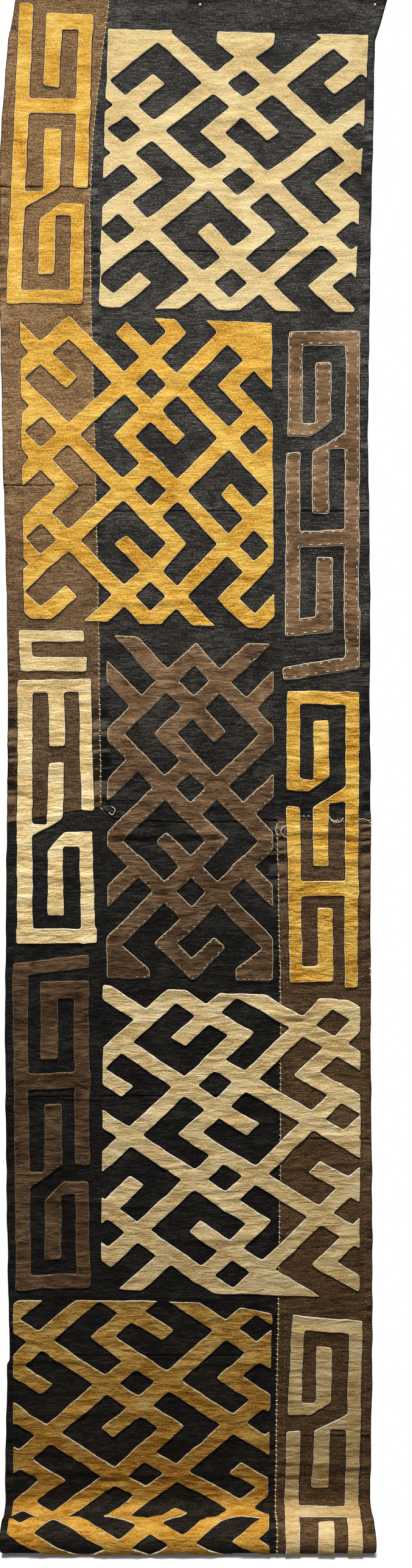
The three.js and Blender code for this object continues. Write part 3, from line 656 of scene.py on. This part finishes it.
# %% Lay a CAD front flat
APPLIED_BACK = 1.7
APPLIED_FRONT = 2.9
CAD_LIP_RADIUS = 60.0
STATIONS = np.unique(np.concatenate([
    np.linspace(-LIP_LENGTH, 0, 3),
    BELLY_DROP,
    np.linspace(TUCK_DROP, WRAP_DROP, 5),
    np.linspace(WRAP_DROP, GROUND_END, 13),
]).round(6))


def cad_line(height):
    """The solid's own folded path at a height: points of y and z at each station."""
    points = []
    for drop in STATIONS:
        if drop < 0:
            turn = -drop / CAD_LIP_RADIUS
            radius = CAD_LIP_RADIUS - height
            points.append((radius * math.cos(turn) - CAD_LIP_RADIUS, radius * math.sin(turn)))
        elif drop <= TUCK_DROP:
            points.append((-height - np.interp(drop, BELLY_DROP, BELLY_FORWARD), -drop))
        else:
            points.append(hang(0.0, drop, height)[1:] / MM)
    return np.array(points)


def unhang(points, height):
    """The drop of each hung point, and how far it lies from the path at this height."""
    line = cad_line(height)
    start, run = line[:-1], np.diff(line, axis=0)
    away = points[:, None, 1:] - start
    share = np.clip((away * run).sum(-1) / (run * run).sum(-1), 0, 1)
    miss = np.linalg.norm(away - share[..., None] * run, axis=-1)
    nearest = miss.argmin(axis=1)
    rows = np.arange(len(points))
    drop = STATIONS[nearest] + share[rows, nearest] * np.diff(STATIONS)[nearest]
    return drop, miss[rows, nearest]


def flat_front(node):
    bm = bmesh.new()
    bm.from_mesh(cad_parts[node].data)
    bmesh.ops.remove_doubles(bm, verts=bm.verts[:], dist=0.00002)
    points = np.array([v.co for v in bm.verts]) / MM
    drop, miss_front = unhang(points, APPLIED_FRONT)
    miss_back = unhang(points, APPLIED_BACK)[1]
    is_front = miss_front < miss_back
    bm.verts.index_update()
    behind = [f for f in bm.faces if not all(is_front[v.index] for v in f.verts)]
    for v, place, d in zip(bm.verts, points, drop):
        v.co = (place[0], -d, 0)
    bmesh.ops.delete(bm, geom=behind, context="FACES")
    loose = [v for v in bm.verts if not v.link_faces]
    bmesh.ops.delete(bm, geom=loose, context="VERTS")
    return bm


# %% The cut edge, softened as scissors leave it
CUT_STEP = 3.2
CORNER_ROUNDS = 2
BATCH = 2000


def outline_loops(bm):
    """The cut edge as loops of flat points, each with the cloth on its left."""
    following = {}
    for face in bm.faces:
        for corner in face.loops:
            if corner.edge.is_boundary:
                following[corner.vert] = corner.link_loop_next.vert
    loops = []
    while following:
        vert = next(iter(following))
        loop = []
        while vert in following:
            loop.append((vert.co.x, vert.co.y))
            vert = following.pop(vert)
        loops.append(np.array(loop))
    return loops


def softened(loop, seed):
    """Divides an outline evenly, rounds its corners a little, and lets it drift as a hand-cut edge does."""
    before, after = loop - np.roll(loop, 1, axis=0), np.roll(loop, -1, axis=0) - loop
    bend = before[:, 0] * after[:, 1] - before[:, 1] * after[:, 0]
    reach = np.linalg.norm(before, axis=1) * np.linalg.norm(after, axis=1)
    loop = loop[np.abs(bend) > 0.02 * reach]
    pieces = []
    for start, end in zip(loop, np.roll(loop, -1, axis=0)):
        count = max(1, round(np.linalg.norm(end - start) / CUT_STEP))
        pieces.append(start + np.arange(count)[:, None] / count * (end - start))
    loop = np.concatenate(pieces)
    for _ in range(CORNER_ROUNDS):
        loop = 0.5 * loop + 0.25 * (np.roll(loop, 1, axis=0) + np.roll(loop, -1, axis=0))
    x, y = loop.T
    across = 1.1 * relief(x / 38, y / 34, seed) + 0.7 * relief(x / 12, y / 13, seed + 1)
    down = 1.1 * relief(x / 34, y / 38, seed + 2) + 0.7 * relief(x / 13, y / 12, seed + 3)
    return loop + np.stack([across, down], axis=1)


def inside(points, loops):
    """Counts how often a line to the right of each point meets the outline: odd is inside."""
    start = np.concatenate(loops)
    end = np.concatenate([np.roll(loop, -1, axis=0) for loop in loops])
    odd = np.zeros(len(points), bool)
    for first in range(0, len(points), BATCH):
        x, y = points[first:first + BATCH, :1], points[first:first + BATCH, 1:]
        spans = (start[:, 1] > y) != (end[:, 1] > y)
        rise = np.where(start[:, 1] == end[:, 1], 1, end[:, 1] - start[:, 1])
        meets = start[:, 0] + (y - start[:, 1]) / rise * (end[:, 0] - start[:, 0])
        odd[first:first + BATCH] = (spans & (meets > x)).sum(axis=1) % 2 == 1
    return odd


# %% The outline as a fence, to measure from
def fence(loops):
    """A wall along the outline. The nearest point on it gives the distance from the edge."""
    points = [(x, y, z) for loop in loops for x, y in loop for z in (-5, 5)]
    walls = []
    first = 0
    for loop in loops:
        count = len(loop)
        for k in range(count):
            a, b = first + 2 * k, first + 2 * ((k + 1) % count)
            walls.append((a, b, b + 1, a + 1))
        first += 2 * count
    return BVHTree.FromPolygons(points, walls)


def gap_from(tree):
    return lambda x, drop: np.array([tree.find_nearest((a, -b, 0))[3] for a, b in zip(x, drop)])


# %% Fill the outline with a fine triangle net
RINGS = (0.7, 1.6)
NET_ACROSS = 11.0
NET_DOWN = 2.2
BACK_ACROSS = 16.0
BACK_DOWN = 5.0


def moved_in(loop, inset):
    """The outline moved towards the cloth, or away from it with a minus."""
    along = np.roll(loop, -1, axis=0) - np.roll(loop, 1, axis=0)
    along = along / np.linalg.norm(along, axis=1)[:, None]
    return loop + inset * np.stack([-along[:, 1], along[:, 0]], axis=1)


def ring_points(loops, tree, inset):
    """Points a little inside the outline, left out where the cloth is too narrow for them."""
    spots = [spot for loop in loops for spot in moved_in(loop, inset)]
    return np.array([(x, y) for x, y in spots if tree.find_nearest((x, y, 0))[3] > 0.85 * inset])


def net_points(loops, tree, across, rows, clear):
    """Points of a grid, every other row shifted by half, that lie well inside the outline."""
    low, high = np.concatenate(loops).min(axis=0), np.concatenate(loops).max(axis=0)
    net = [(x, y) for k, y in enumerate(rows) if low[1] < y < high[1]
           for x in np.arange(low[0] + across * (0.25 + 0.5 * (k % 2)), high[0], across)]
    net = np.array(net)
    net = net[inside(net, loops)]
    return np.array([p for p in net if tree.find_nearest((*p, 0))[3] > clear]).reshape(-1, 2)


def add_layer(bm, loops, inner, level):
    """Triangulates the outline with inner points. Inner points lie at the level, the outline at 0."""
    points = np.concatenate(loops + [inner])
    count = len(points) - len(inner)
    edges = []
    first = 0
    for loop in loops:
        edges += [(first + k, first + (k + 1) % len(loop)) for k in range(len(loop))]
        first += len(loop)
    made, _, faces, source, _, _ = delaunay_2d_cdt([Vector(p) for p in points], edges, [], 0, 0.0001)
    free = [len(ids) > 0 and min(ids) >= count for ids in source]
    places = np.array(made)
    middles = np.array([places[face].mean(axis=0) for face in faces])
    kept = inside(middles, loops)
    verts = [bm.verts.new((x, y, level if f else 0)) for (x, y), f in zip(places, free)]
    for face, keep in zip(faces, kept):
        if keep:
            bm.faces.new([verts[i] for i in face])


def cut_sheet(loops, tree):
    """A closed flat lens: a fine front net, and a coarse back, joined at the outline."""
    rows = -np.arange(-LIP_LENGTH, GROUND_END, NET_DOWN)
    rings = [ring_points(loops, tree, inset) for inset in RINGS]
    net = net_points(loops, tree, NET_ACROSS, rows, RINGS[-1] + 1.0)
    back_rows = -np.arange(0, GROUND_END, BACK_DOWN)
    coarse = net_points(loops, tree, BACK_ACROSS, back_rows, 4)
    bm = bmesh.new()
    add_layer(bm, loops, np.concatenate(rings + [net]), 1)
    add_layer(bm, loops, coarse, -1)
    loose = [v for v in bm.verts if not v.link_faces]
    bmesh.ops.delete(bm, geom=loose, context="VERTS")
    bmesh.ops.remove_doubles(bm, verts=bm.verts[:], dist=0.001)
    bmesh.ops.recalc_face_normals(bm, faces=bm.faces[:])
    return bm


# %% Relief of a cut-out piece
PANEL_ENDS = {end for row in PANELS.values() for end in row[1:] if not callable(end)}
PANEL_SEAMS = sorted(end for end in PANEL_ENDS if 0 < end < TUCK_DROP)


def ground_lift(x, drop):
    """How far the ground's seams and ripples lift what is sewn over them."""
    seam_x = np.where(drop < cross_seam(x), upper_seam(drop), lower_seam(drop))
    lift = 1.5 * np.exp(-((x - seam_x) / 17) ** 2) + 0.9 * np.exp(-((drop - cross_seam(x)) / 9) ** 2)
    for seam in PANEL_SEAMS:
        lift = lift + 0.75 * np.exp(-((drop - seam) / 8) ** 2)
    return lift + woven_ripple(x, drop)


def applied_front(pucker, seed):
    def height(x, drop, gap):
        round_edge = np.sqrt(1 - (1 - np.clip(gap / 0.8, 0, 1)) ** 2)
        hem = 0.4 * (1 - fade(gap, 6.5, 9))
        pull = 0.65 + 0.5 * relief(x / 70, drop / 90, seed)
        sway = drop + 5 * relief(x / 45, drop / 60, seed + 4)
        cross = 1.7 * relief(x / 50, sway / 5.2, seed + 1) + 0.9 * relief(x / 30, sway / 9, seed + 2)
        rise = 1.7 + hem + pucker * pull * cross + 0.2 * relief(x / 14, drop / 3.2, seed + 3)
        return 1.75 + ground_lift(x, drop) + round_edge * np.maximum(rise, 0.5)

    return height


def applied_back(x, drop, gap):
    return 1.65 + ground_lift(x, drop)


# %% Make the cut-out pieces
# Each row: cloth, slot, how strongly it puckers.
APPLIED = {
    "cream_lattice_upper": (CREAM, "raffia_cream", 0.55),
    "gold_lattice_upper": (GOLD, "raffia_gold", 0.65),
    "brown_lattice": (RUSSET, "raffia_russet", 0.8),
    "cream_lattice_lower": (CREAM, "raffia_cream", 0.85),
    "gold_lattice_lower": (GOLD, "raffia_gold", 0.9),
    "gold_hook_left": (GOLD, "raffia_gold", 0.75),
    "brown_hook_right": (RUSSET, "raffia_russet", 1.0),
    "gold_hook_right": (GOLD, "raffia_gold", 1.15),
    "cream_bracket": (CREAM, "raffia_cream", 0.8),
    "cream_hook_left": (CREAM, "raffia_cream", 1.0),
    "brown_hook_left": (RUSSET, "raffia_russet", 0.9),
    "cream_hook_right": (CREAM, "raffia_cream", 1.1),
}
outlines = {}
fronts = {}
for seed, (node, (material, slot, pucker)) in enumerate(APPLIED.items()):
    bm = flat_front(node)
    loops = [softened(loop, 40 + 7 * seed) for loop in outline_loops(bm)]
    bm.free()
    tree = fence(loops)
    bm = cut_sheet(loops, tree)
    front = applied_front(pucker, 100 + 7 * seed)
    piece = finish_sheet(node + "_cloth", bm, front, applied_back, gap_from(tree))
    piece.data.materials.append(material)
    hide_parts(node)
    outlines[node] = loops
    fronts[node] = front

# %% [markdown]
# ## Thread
# Threads are what makes hand-sewn work look sewn. Stitches are small, and there are many, so one low shape is
# placed many times and joined into one mesh for each kind. Long threads are round curves along hung paths.


# %% Thread materials
def speckle(tree, scale):
    """Fine noise that stays on the piece."""
    place = tree.nodes.new("ShaderNodeTexCoord")
    noise = tree.nodes.new("ShaderNodeTexNoise")
    noise.inputs["Scale"].default_value = scale
    tree.links.new(place.outputs["Object"], noise.inputs["Vector"])
    return noise.outputs["Fac"]


def thread(name, colour, shade):
    material, tree, shader = new_material(name, 0.9, 0.1)
    share = ranged(tree, speckle(tree, 260), 0.35, 0.65, 0, 1)
    tree.links.new(mixed(tree, share, shade, colour), shader.inputs["Base Color"])
    return material


CREAM_THREAD = thread("cream_thread", rgb(250, 238, 208), rgb(214, 194, 152))
WHITE_THREAD = thread("white_thread", rgb(252, 248, 236), rgb(226, 214, 186))
# The dark thread is partly overcast stitching and partly a painted shadow line beside the cut-outs.
DARK_THREAD_AND_SHADOW = thread("dark_thread_and_shadow", rgb(56, 43, 31), rgb(24, 19, 15))
DULL_THREAD = thread("dull_thread", rgb(234, 210, 168), rgb(188, 158, 116))
FAINT_THREAD = thread("faint_thread", rgb(150, 118, 84), rgb(104, 80, 56))
BROWN_THREAD = thread("brown_thread", rgb(176, 146, 112), rgb(96, 74, 54))
GREY_THREAD = thread("grey_thread", rgb(64, 60, 56), rgb(30, 28, 26))


# %% Place stitches
def stitches(name, places, length, width, rise, material):
    """places has a row for each stitch: x, drop, direction across, direction down, height."""
    bm = bmesh.new()
    bmesh.ops.create_uvsphere(bm, u_segments=5, v_segments=4, radius=0.5)
    shape = np.array([v.co for v in bm.verts])
    faces = [[v.index for v in f.verts] for f in bm.faces]
    bm.free()
    places = np.array(places)
    x, drop, along_x, along_d, base = (places[:, k, None] for k in range(5))
    long, wide, tall = shape[:, 2] * length, shape[:, 0] * width, shape[:, 1] * rise
    spread = hang(x + along_x * long - along_d * wide, drop + along_d * long + along_x * wide, base + tall)
    count = len(shape)
    joined = [[k * count + v for v in f] for k in range(len(places)) for f in faces]
    mesh = bpy.data.meshes.new(name)
    mesh.from_pydata(spread.reshape(-1, 3), [], joined)
    smooth(mesh)
    mesh.materials.append(material)
    print(name, len(places), "stitches")
    return new_piece(name, mesh)


def along_loop(loop, spacing, inset, seed):
    """Evenly spaced spots along an outline, moved in from the edge: x, drop, direction across and down."""
    ends = np.roll(loop, -1, axis=0)
    run = ends - loop
    length = np.linalg.norm(run, axis=1)
    total = length.sum()
    count = max(1, int(total / spacing))
    jitter = 0.25 * relief(np.arange(count) * 1.7, np.zeros(count), seed)
    marks = (np.arange(count) + 0.5 + jitter) * total / count
    reached = np.cumsum(length)
    k = np.clip(np.searchsorted(reached, marks), 0, len(loop) - 1)
    share = (marks - (reached[k] - length[k])) / length[k]
    along = run[k] / length[k, None]
    spot = loop[k] + share[:, None] * run[k]
    spot = spot + inset * np.stack([-along[:, 1], along[:, 0]], axis=1)
    return np.stack([spot[:, 0], -spot[:, 1], along[:, 0], -along[:, 1]], axis=1)


# %% Running stitches of the brown cut-outs
PATCH = 60
RUNNING_RISE = 1.1
# Each row: spacing, distance from the edge, length, width, how low the patch noise may be, thread.
RUNNING = {
    "brown_hook_right": (19, 3.4, 7.5, 1.9, -1.0, CREAM_THREAD),
    "brown_lattice": (13, 2.4, 5.2, 1.4, -0.25, DULL_THREAD),
    "brown_hook_left": (13, 2.6, 5.0, 1.2, 0.0, FAINT_THREAD),
}
for node, (spacing, inset, long, wide, shown, material) in RUNNING.items():
    tree = fence(outlines[node])
    places = []
    for k, loop in enumerate(outlines[node]):
        for x, drop, ax, ad in along_loop(loop, spacing, inset, 300 + k):
            is_kept = float(relief(np.array([x / PATCH]), np.array([drop / PATCH]), 310)[0]) > shown
            if is_kept and tree.find_nearest((x, -drop, 0))[3] > 0.8 * inset:
                places.append((x, drop, ax, ad, float(fronts[node](x, drop, inset)) + 0.1))
    piece = stitches(node + "_running_stitch", places, long, wide, RUNNING_RISE, material)


# %% Round threads
def cords(name, paths, radius, material, closed, sides=1):
    """Round threads along hung paths, as one curve object."""
    data = bpy.data.curves.new(name, "CURVE")
    data.dimensions = "3D"
    data.bevel_depth = radius * MM
    data.bevel_resolution = sides
    for path in paths:
        spline = data.splines.new("POLY")
        spline.points.add(len(path) - 1)
        spline.points.foreach_set("co", np.hstack([path, np.ones((len(path), 1))]).ravel())
        spline.use_cyclic_u = closed
    data.materials.append(material)
    print(name, len(paths), "paths")
    return new_piece(name, data)


# %% Dark thread round the cut-outs, partly stitching and partly painted shadow, and the edge cords of the brown ones
# The dark thread runs just outside each cut-out, on the ground. It is partly overcast stitching and partly a
# painted shadow line beside the raised edge.
DARK_THREAD_AND_SHADOW_RADIUS = 0.4
DARK_THREAD_AND_SHADOW_OUTSIDE = -0.55
DARK_THREAD_AND_SHADOW_HEIGHT = 1.65
CORD_HEIGHT = 2.3
# Each row: radius, thread.
EDGE_CORDS = {
    "brown_lattice": (0.55, CREAM_THREAD),
    "brown_hook_right": (0.7, WHITE_THREAD),
    "brown_hook_left": (0.4, FAINT_THREAD),
}


def over_ground(loop, height):
    """A hung path at this height above the ground cloth."""
    x, drop = loop[:, 0], -loop[:, 1]
    return hang(x, drop, height + ground_lift(x, drop))


for node in APPLIED:
    paths = []
    for loop in outlines[node]:
        waver = 0.45 * relief(loop[:, :1] / 17, loop[:, 1:] / 17, 61)
        paths.append(over_ground(moved_in(loop, DARK_THREAD_AND_SHADOW_OUTSIDE + waver), DARK_THREAD_AND_SHADOW_HEIGHT))
    piece = cords(node + "_dark_thread_and_shadow", paths, DARK_THREAD_AND_SHADOW_RADIUS, DARK_THREAD_AND_SHADOW, True, sides=0)

for node, (radius, material) in EDGE_CORDS.items():
    paths = [over_ground(loop, CORD_HEIGHT) for loop in outlines[node]]
    cords(node + "_edge_thread", paths, radius, material, True, sides=0)

# %% Whip stitches of the two long seams
WHIP_PITCH = 9.6
WHIP_HEIGHT = 2.5
SEAM_LINE_HEIGHT = 1.9
SEAM_LINE_RADIUS = 0.55
for name, seam, start, stop in (("upper_seam_thread", upper_seam, -4, 1512),
                                ("lower_seam_thread", lower_seam, 1545, 2962)):
    drop = np.arange(start, stop, WHIP_PITCH)
    drop = drop + 1.5 * relief(drop / WHIP_PITCH, 0 * drop, 31)
    lean = 0.35 + 0.3 * relief(drop / WHIP_PITCH + 0.5, 0 * drop, 32)
    places = np.stack([seam(drop), drop, np.cos(lean), np.sin(lean), np.full_like(drop, WHIP_HEIGHT)], axis=1)
    piece = stitches(name, places, 6.0, 1.4, 1.2, CREAM_THREAD)
    line = np.arange(start, stop, 4.0)
    edge = seam(line) + 0.5 * relief(line / 7, 0 * line, 33)
    paths = [hang(edge, line, SEAM_LINE_HEIGHT)]
    cords(name + "_line", paths, SEAM_LINE_RADIUS, DULL_THREAD, False)

# %% Hem stitches beside the edges and seams
HEM_PITCH = 10.5
HEM_HEIGHT = 1.85
# Each row: edge or seam, distance from it, first and last drop, thread, slot.
HEMS = {
    "left_hem_stitch": (outline_left, HEM, 4, 1512, BROWN_THREAD, "raffia_brown"),
    "seam_hem_stitch": (upper_seam, -HEM, 4, 1512, BROWN_THREAD, "raffia_brown"),
    "black_seam_stitch": (upper_seam, HEM, 4, 1512, GREY_THREAD, "raffia_black"),
    "right_hem_stitch": (outline_right, -HEM, 4, 1530, GREY_THREAD, "raffia_black"),
    "low_left_hem_stitch": (outline_left, HEM, 1560, 2940, GREY_THREAD, "raffia_black"),
    "low_black_seam_stitch": (lower_seam, -HEM, 1550, 2940, GREY_THREAD, "raffia_black"),
    "low_seam_hem_stitch": (lower_seam, HEM, 1550, 2940, BROWN_THREAD, "raffia_brown"),
    "low_right_hem_stitch": (outline_right, -HEM, 1550, 2940, BROWN_THREAD, "raffia_brown"),
}
for name, (edge, offset, start, stop, material, slot) in HEMS.items():
    drop = np.arange(start, stop, HEM_PITCH)
    drop = drop + 2.0 * relief(drop / HEM_PITCH, 0 * drop, 71)
    x = edge(drop) + offset + 0.5 * relief(drop / 23, 0 * drop, 72)
    lean = 0.25 * relief(drop / HEM_PITCH + 0.5, 0 * drop, 73)
    places = np.stack([x, drop, np.sin(lean), np.cos(lean), np.full_like(drop, HEM_HEIGHT)], axis=1)
    stitches(name, places, 4.8, 1.1, 1.0, material)

# %% [markdown]
# ## Loose ends
# Where the two lower columns meet the upper ones, the sewing has come undone. A white thread makes a loop and
# a V, the brown panel's top edge is frayed, and a few ends stand off the right side. Each is a short curve.


# %% Loose threads
def loose_path(points, steps=14):
    """A smooth line through a few flat points of x, drop and height."""
    points = np.array(points, float)
    marks = np.linspace(0, len(points) - 1, steps * (len(points) - 1) + 1)
    before = np.clip(np.floor(marks).astype(int), 0, len(points) - 2)
    share = (marks - before)[:, None]
    ends = np.vstack([2 * points[0] - points[1], points, 2 * points[-1] - points[-2]])
    p0, p1, p2, p3 = (ends[before + k] for k in range(4))
    line = p1 + 0.5 * share * (p2 - p0 + share * (2 * p0 - 5 * p1 + 4 * p2 - p3
                                                  + share * (3 * (p1 - p2) + p3 - p0)))
    return hang(line[:, 0], line[:, 1], line[:, 2])


LOOSE_RADIUS = 0.65
WHITE_ENDS = [
    [(187, 1549, 2.5), (180, 1551, 5), (175.5, 1559, 6), (180, 1567, 5), (186, 1570, 5), (190, 1575, 3)],
    [(267, 1531, 2.5), (270, 1537, 5), (275, 1541, 6), (283, 1542, 5.5), (289, 1539, 5), (293, 1534, 3)],
    [(271, 1537, 4), (276, 1539, 5), (284, 1538, 4)],
    [(322, 1537, 2.5), (330, 1535.5, 4), (338, 1538, 4), (343, 1539, 3)],
    [(341, 1541, 2.2), (346, 1545, 3.5), (342, 1550, 2.4)],
    [(169, 1546, 2.5), (166, 1556, 4), (168, 1566, 3)],
    [(217, 1531, 2.5), (219, 1530, 4), (221, 1532, 2.5)],
    [(226, 1531, 2.5), (228, 1530, 4), (230, 1531, 2.5)],
    [(342, 1816, 2.2), (347, 1822, 3.5), (343, 1830, 2.4)],
    [(-143, 1512, 2.5), (-136, 1518, 5), (-141, 1528, 4), (-148, 1524, 3)],
]
paths = [loose_path(points) for points in WHITE_ENDS]
piece = cords("white_loose_threads", paths, LOOSE_RADIUS, WHITE_THREAD, False)

# %% Frayed edge under the cross seam
FRAY_COUNT = 150
FRAY_RADIUS = 0.22
strand = np.arange(FRAY_COUNT)
spot = np.linspace(170, 344, FRAY_COUNT) + 0.8 * relief(strand * 1.3, 0.0 * strand, 81)
reach = 2.5 + 3.0 * np.abs(relief(strand * 0.9, np.ones(FRAY_COUNT), 82))
lean = 1.6 * relief(strand * 0.7, np.full(FRAY_COUNT, 2.0), 83)
fray = []
for x, top, long, tilt in zip(spot, cross_seam(spot), reach, lean):
    fray.append([(x, top + 2.5, 1.7), (x + 0.4 * tilt, top - 0.3 * long, 2.0), (x + tilt, top - long, 1.9)])
paths = [loose_path(points, 3) for points in fray]
piece = cords("frayed_edge", paths, FRAY_RADIUS, BROWN_THREAD, False, sides=0)

# %% [markdown]
# ## Roll
# Inside the roll the cloth goes on, turn on turn. From the side the turns show as a spiral, so the inner
# length is a real spiral sheet and not a plain bar. A grid is bent into the spiral, and its side edges are
# left uneven.

# %% The rolled length
TURN_PITCH = 2.6
TURN_OUTER = 25.4
TURN_INNER = 4.0
TURN_THICK = 1.3
FIRST_LIFT = 1.5
STEPS_A_TURN = 40
ROLL_MIDDLE = 3
ROLL_HALF = 341
FAR_FROM_EDGE = 9
turns = (TURN_OUTER - TURN_INNER) / TURN_PITCH
wound = math.pi * (TURN_OUTER + TURN_INNER) * turns
bm = bmesh.new()
bmesh.ops.create_grid(bm, x_segments=24, y_segments=int(turns * STEPS_A_TURN), size=0.5)
bmesh.ops.solidify(bm, geom=bm.faces[:], thickness=0.01)
place = np.array([v.co for v in bm.verts])
outside = place[:, 2] > place[:, 2].mean()
share = place[:, 1] + 0.5
turn = TUCK_TURN - GROUND_WRAP - share * turns * 2 * math.pi
radius = TURN_OUTER + FIRST_LIFT * (1 - fade(share, 0, 0.26 / turns)) - TURN_PITCH * share * turns
radius = radius - np.where(outside, 0, TURN_THICK)
side = place[:, 0] * 2
x = ROLL_MIDDLE + side * (ROLL_HALF - 2.5 * relief(turn / 2.1, np.sign(side), 51))
y = ROLL_CENTRE[0] - radius * np.cos(turn)
z = ROLL_CENTRE[1] + radius * np.sin(turn)
for v, point in zip(bm.verts, np.stack([x, y, z], axis=1) * MM):
    v.co = point
bmesh.ops.recalc_face_normals(bm, faces=bm.faces[:])
hung = np.array([v.co for v in bm.verts])
rolled_flat = np.stack([x, -share * wound], axis=1)
mesh = cloth_mesh("rolled_length_cloth", bm, hung, rolled_flat, np.full(len(place), FAR_FROM_EDGE))
mesh.materials.append(BLACK)
rolled = new_piece("rolled_length_cloth", mesh)
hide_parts("rolled_length")
print("rolled length", round(wound * MM, 3), "m in", round(turns, 1), "turns")

# %% [markdown]
# ## Pins
# The pins are plain steel with a domed head. A profile is spun round the pin's axis.


# %% Pins
HEAD_RADIUS = 2.6
HEAD_TALL = 2.4
SHANK_RADIUS = 0.6
SHANK_END = 10
POINT_END = 12
SEAT = -2.0
STEEL, steel_tree, steel_shader = new_material("pin_head_steel", 0.3, 0.5)
steel_shader.inputs["Base Color"].default_value = rgb(232, 231, 228)
steel_shader.inputs["Metallic"].default_value = 0.35
scuffs = ranged(steel_tree, speckle(steel_tree, 900), 0.3, 0.7, 0.2, 0.4)
steel_tree.links.new(scuffs, steel_shader.inputs["Roughness"])
dome = np.linspace(0, math.pi / 2, 9)
profile = [(HEAD_RADIUS * math.sin(a), SEAT - HEAD_TALL * math.cos(a)) for a in dome]
profile += [(SHANK_RADIUS, SEAT), (SHANK_RADIUS, SHANK_END), (0, POINT_END)]
for node, pin_x in zip(("pin_middle", "pin_right"), PINS_X):
    bm = bmesh.new()
    verts = [bm.verts.new((pin_x + r, y, 0)) for r, y in profile]
    edges = [bm.edges.new(pair) for pair in zip(verts[:-1], verts[1:])]
    bmesh.ops.spin(bm, geom=verts + edges, cent=(pin_x, 0, 0), axis=(0, 1, 0), angle=2 * math.pi, steps=24,
                   use_merge=True, use_duplicate=False)
    bmesh.ops.remove_doubles(bm, verts=bm.verts[:], dist=0.001)
    bmesh.ops.recalc_face_normals(bm, faces=bm.faces[:])
    bmesh.ops.scale(bm, vec=(MM, MM, MM), verts=bm.verts[:])
    mesh = bpy.data.meshes.new(node + "_steel")
    bm.to_mesh(mesh)
    bm.free()
    smooth(mesh)
    mesh.materials.append(STEEL)
    piece = new_piece(node + "_steel", mesh)
    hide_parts(node)
    print(node, len(mesh.polygons), "faces")

# %% [markdown]
# ## Floor and light
# A pale floor carries the roll. The light is a wide soft panel above and in front, so that the upper cloth is
# a little brighter, and a high soft sun, so that each turned edge catches light above and drops a thin shadow
# below. A wide panel behind lights the back. The floor looks white to the camera but reflects little light,
# because the underside of the roll is dark.


# %% Floor
def camera_ray(tree):
    return tree.nodes.new("ShaderNodeLightPath").outputs["Is Camera Ray"]


def join_shaders(tree, share, first, second, output):
    mix = tree.nodes.new("ShaderNodeMixShader")
    for socket, source in zip(mix.inputs, (share, first, second)):
        tree.links.new(source, socket)
    tree.links.new(mix.outputs[0], tree.nodes[output].inputs["Surface"])


FLOOR_Z = -2.8884
FLOOR_WIDE = 1.5
FLOOR_DEEP = 0.9
FLOOR_MIDDLE = -0.39
FLOOR_GLOW = 0.08
FLOOR_SEEN = (0.9, 0.9, 0.9, 1)
FLOOR_REFLECTED = (0.2, 0.2, 0.2, 1)
bm = bmesh.new()
bmesh.ops.create_grid(bm, x_segments=1, y_segments=1, size=0.5)
bmesh.ops.scale(bm, vec=(FLOOR_WIDE, FLOOR_DEEP, 1), verts=bm.verts[:])
bmesh.ops.translate(bm, vec=(0, FLOOR_MIDDLE, FLOOR_Z), verts=bm.verts[:])
mesh = bpy.data.meshes.new("floor")
bm.to_mesh(mesh)
bm.free()
floor = bpy.data.objects.new("floor", mesh)
bpy.context.scene.collection.objects.link(floor)
floor_paint, tree, shader = new_material("floor_paint", 0.9, 0.5)
floor_tone = mixed(tree, camera_ray(tree), FLOOR_REFLECTED, FLOOR_SEEN)
tree.links.new(floor_tone, shader.inputs["Base Color"])
glow = tree.nodes.new("ShaderNodeEmission")
glow_share = math_node(tree, "MULTIPLY", camera_ray(tree), FLOOR_GLOW)
join_shaders(tree, glow_share, shader.outputs[0], glow.outputs[0], "Material Output")
mesh.materials.append(floor_paint)
print("floor at", FLOOR_Z, "m")


# %% Light
def studio_world(ambient):
    """Soft light from all round, and plain white where the camera looks past the cloth."""
    world = bpy.data.worlds.new("studio")
    world.use_nodes = True
    tree = world.node_tree
    soft = tree.nodes["Background"]
    plain = tree.nodes.new("ShaderNodeBackground")
    for background in (soft, plain):
        background.inputs["Color"].default_value = (1, 1, 1, 1)
    soft.inputs["Strength"].default_value = ambient
    join_shaders(tree, camera_ray(tree), soft.outputs[0], plain.outputs[0], "World Output")
    return world


def aimed(data, place, target):
    lamp = bpy.data.objects.new(data.name, data)
    lamp.location = place
    lamp.rotation_euler = (Vector(target) - Vector(place)).to_track_quat("-Z", "Y").to_euler()
    bpy.context.scene.collection.objects.link(lamp)
    print(data.name, data.energy)


def soft_light(name, wide, tall, watts, place, target):
    data = bpy.data.lights.new(name, "AREA")
    data.shape = "RECTANGLE"
    data.size = wide
    data.size_y = tall
    data.energy = watts
    aimed(data, place, target)


bpy.context.scene.world = studio_world(ambient=0.12)
soft_light("soft_panel", 1.0, 0.5, 19, (-0.2, -1.8, -0.2), (0.0, 0.0, -0.9))
soft_light("back_fill", 1.5, 2.0, 45, (0.4, 2.4, -0.9), (0.0, 0.0, -1.4))
skylight = bpy.data.lights.new("skylight", "SUN")
skylight.energy = 3.5
skylight.angle = math.radians(9)
aimed(skylight, (-0.15, -0.8, 1.9), (0.0, 0.0, 0.0))
bpy.context.scene.view_settings.view_transform = "Standard"
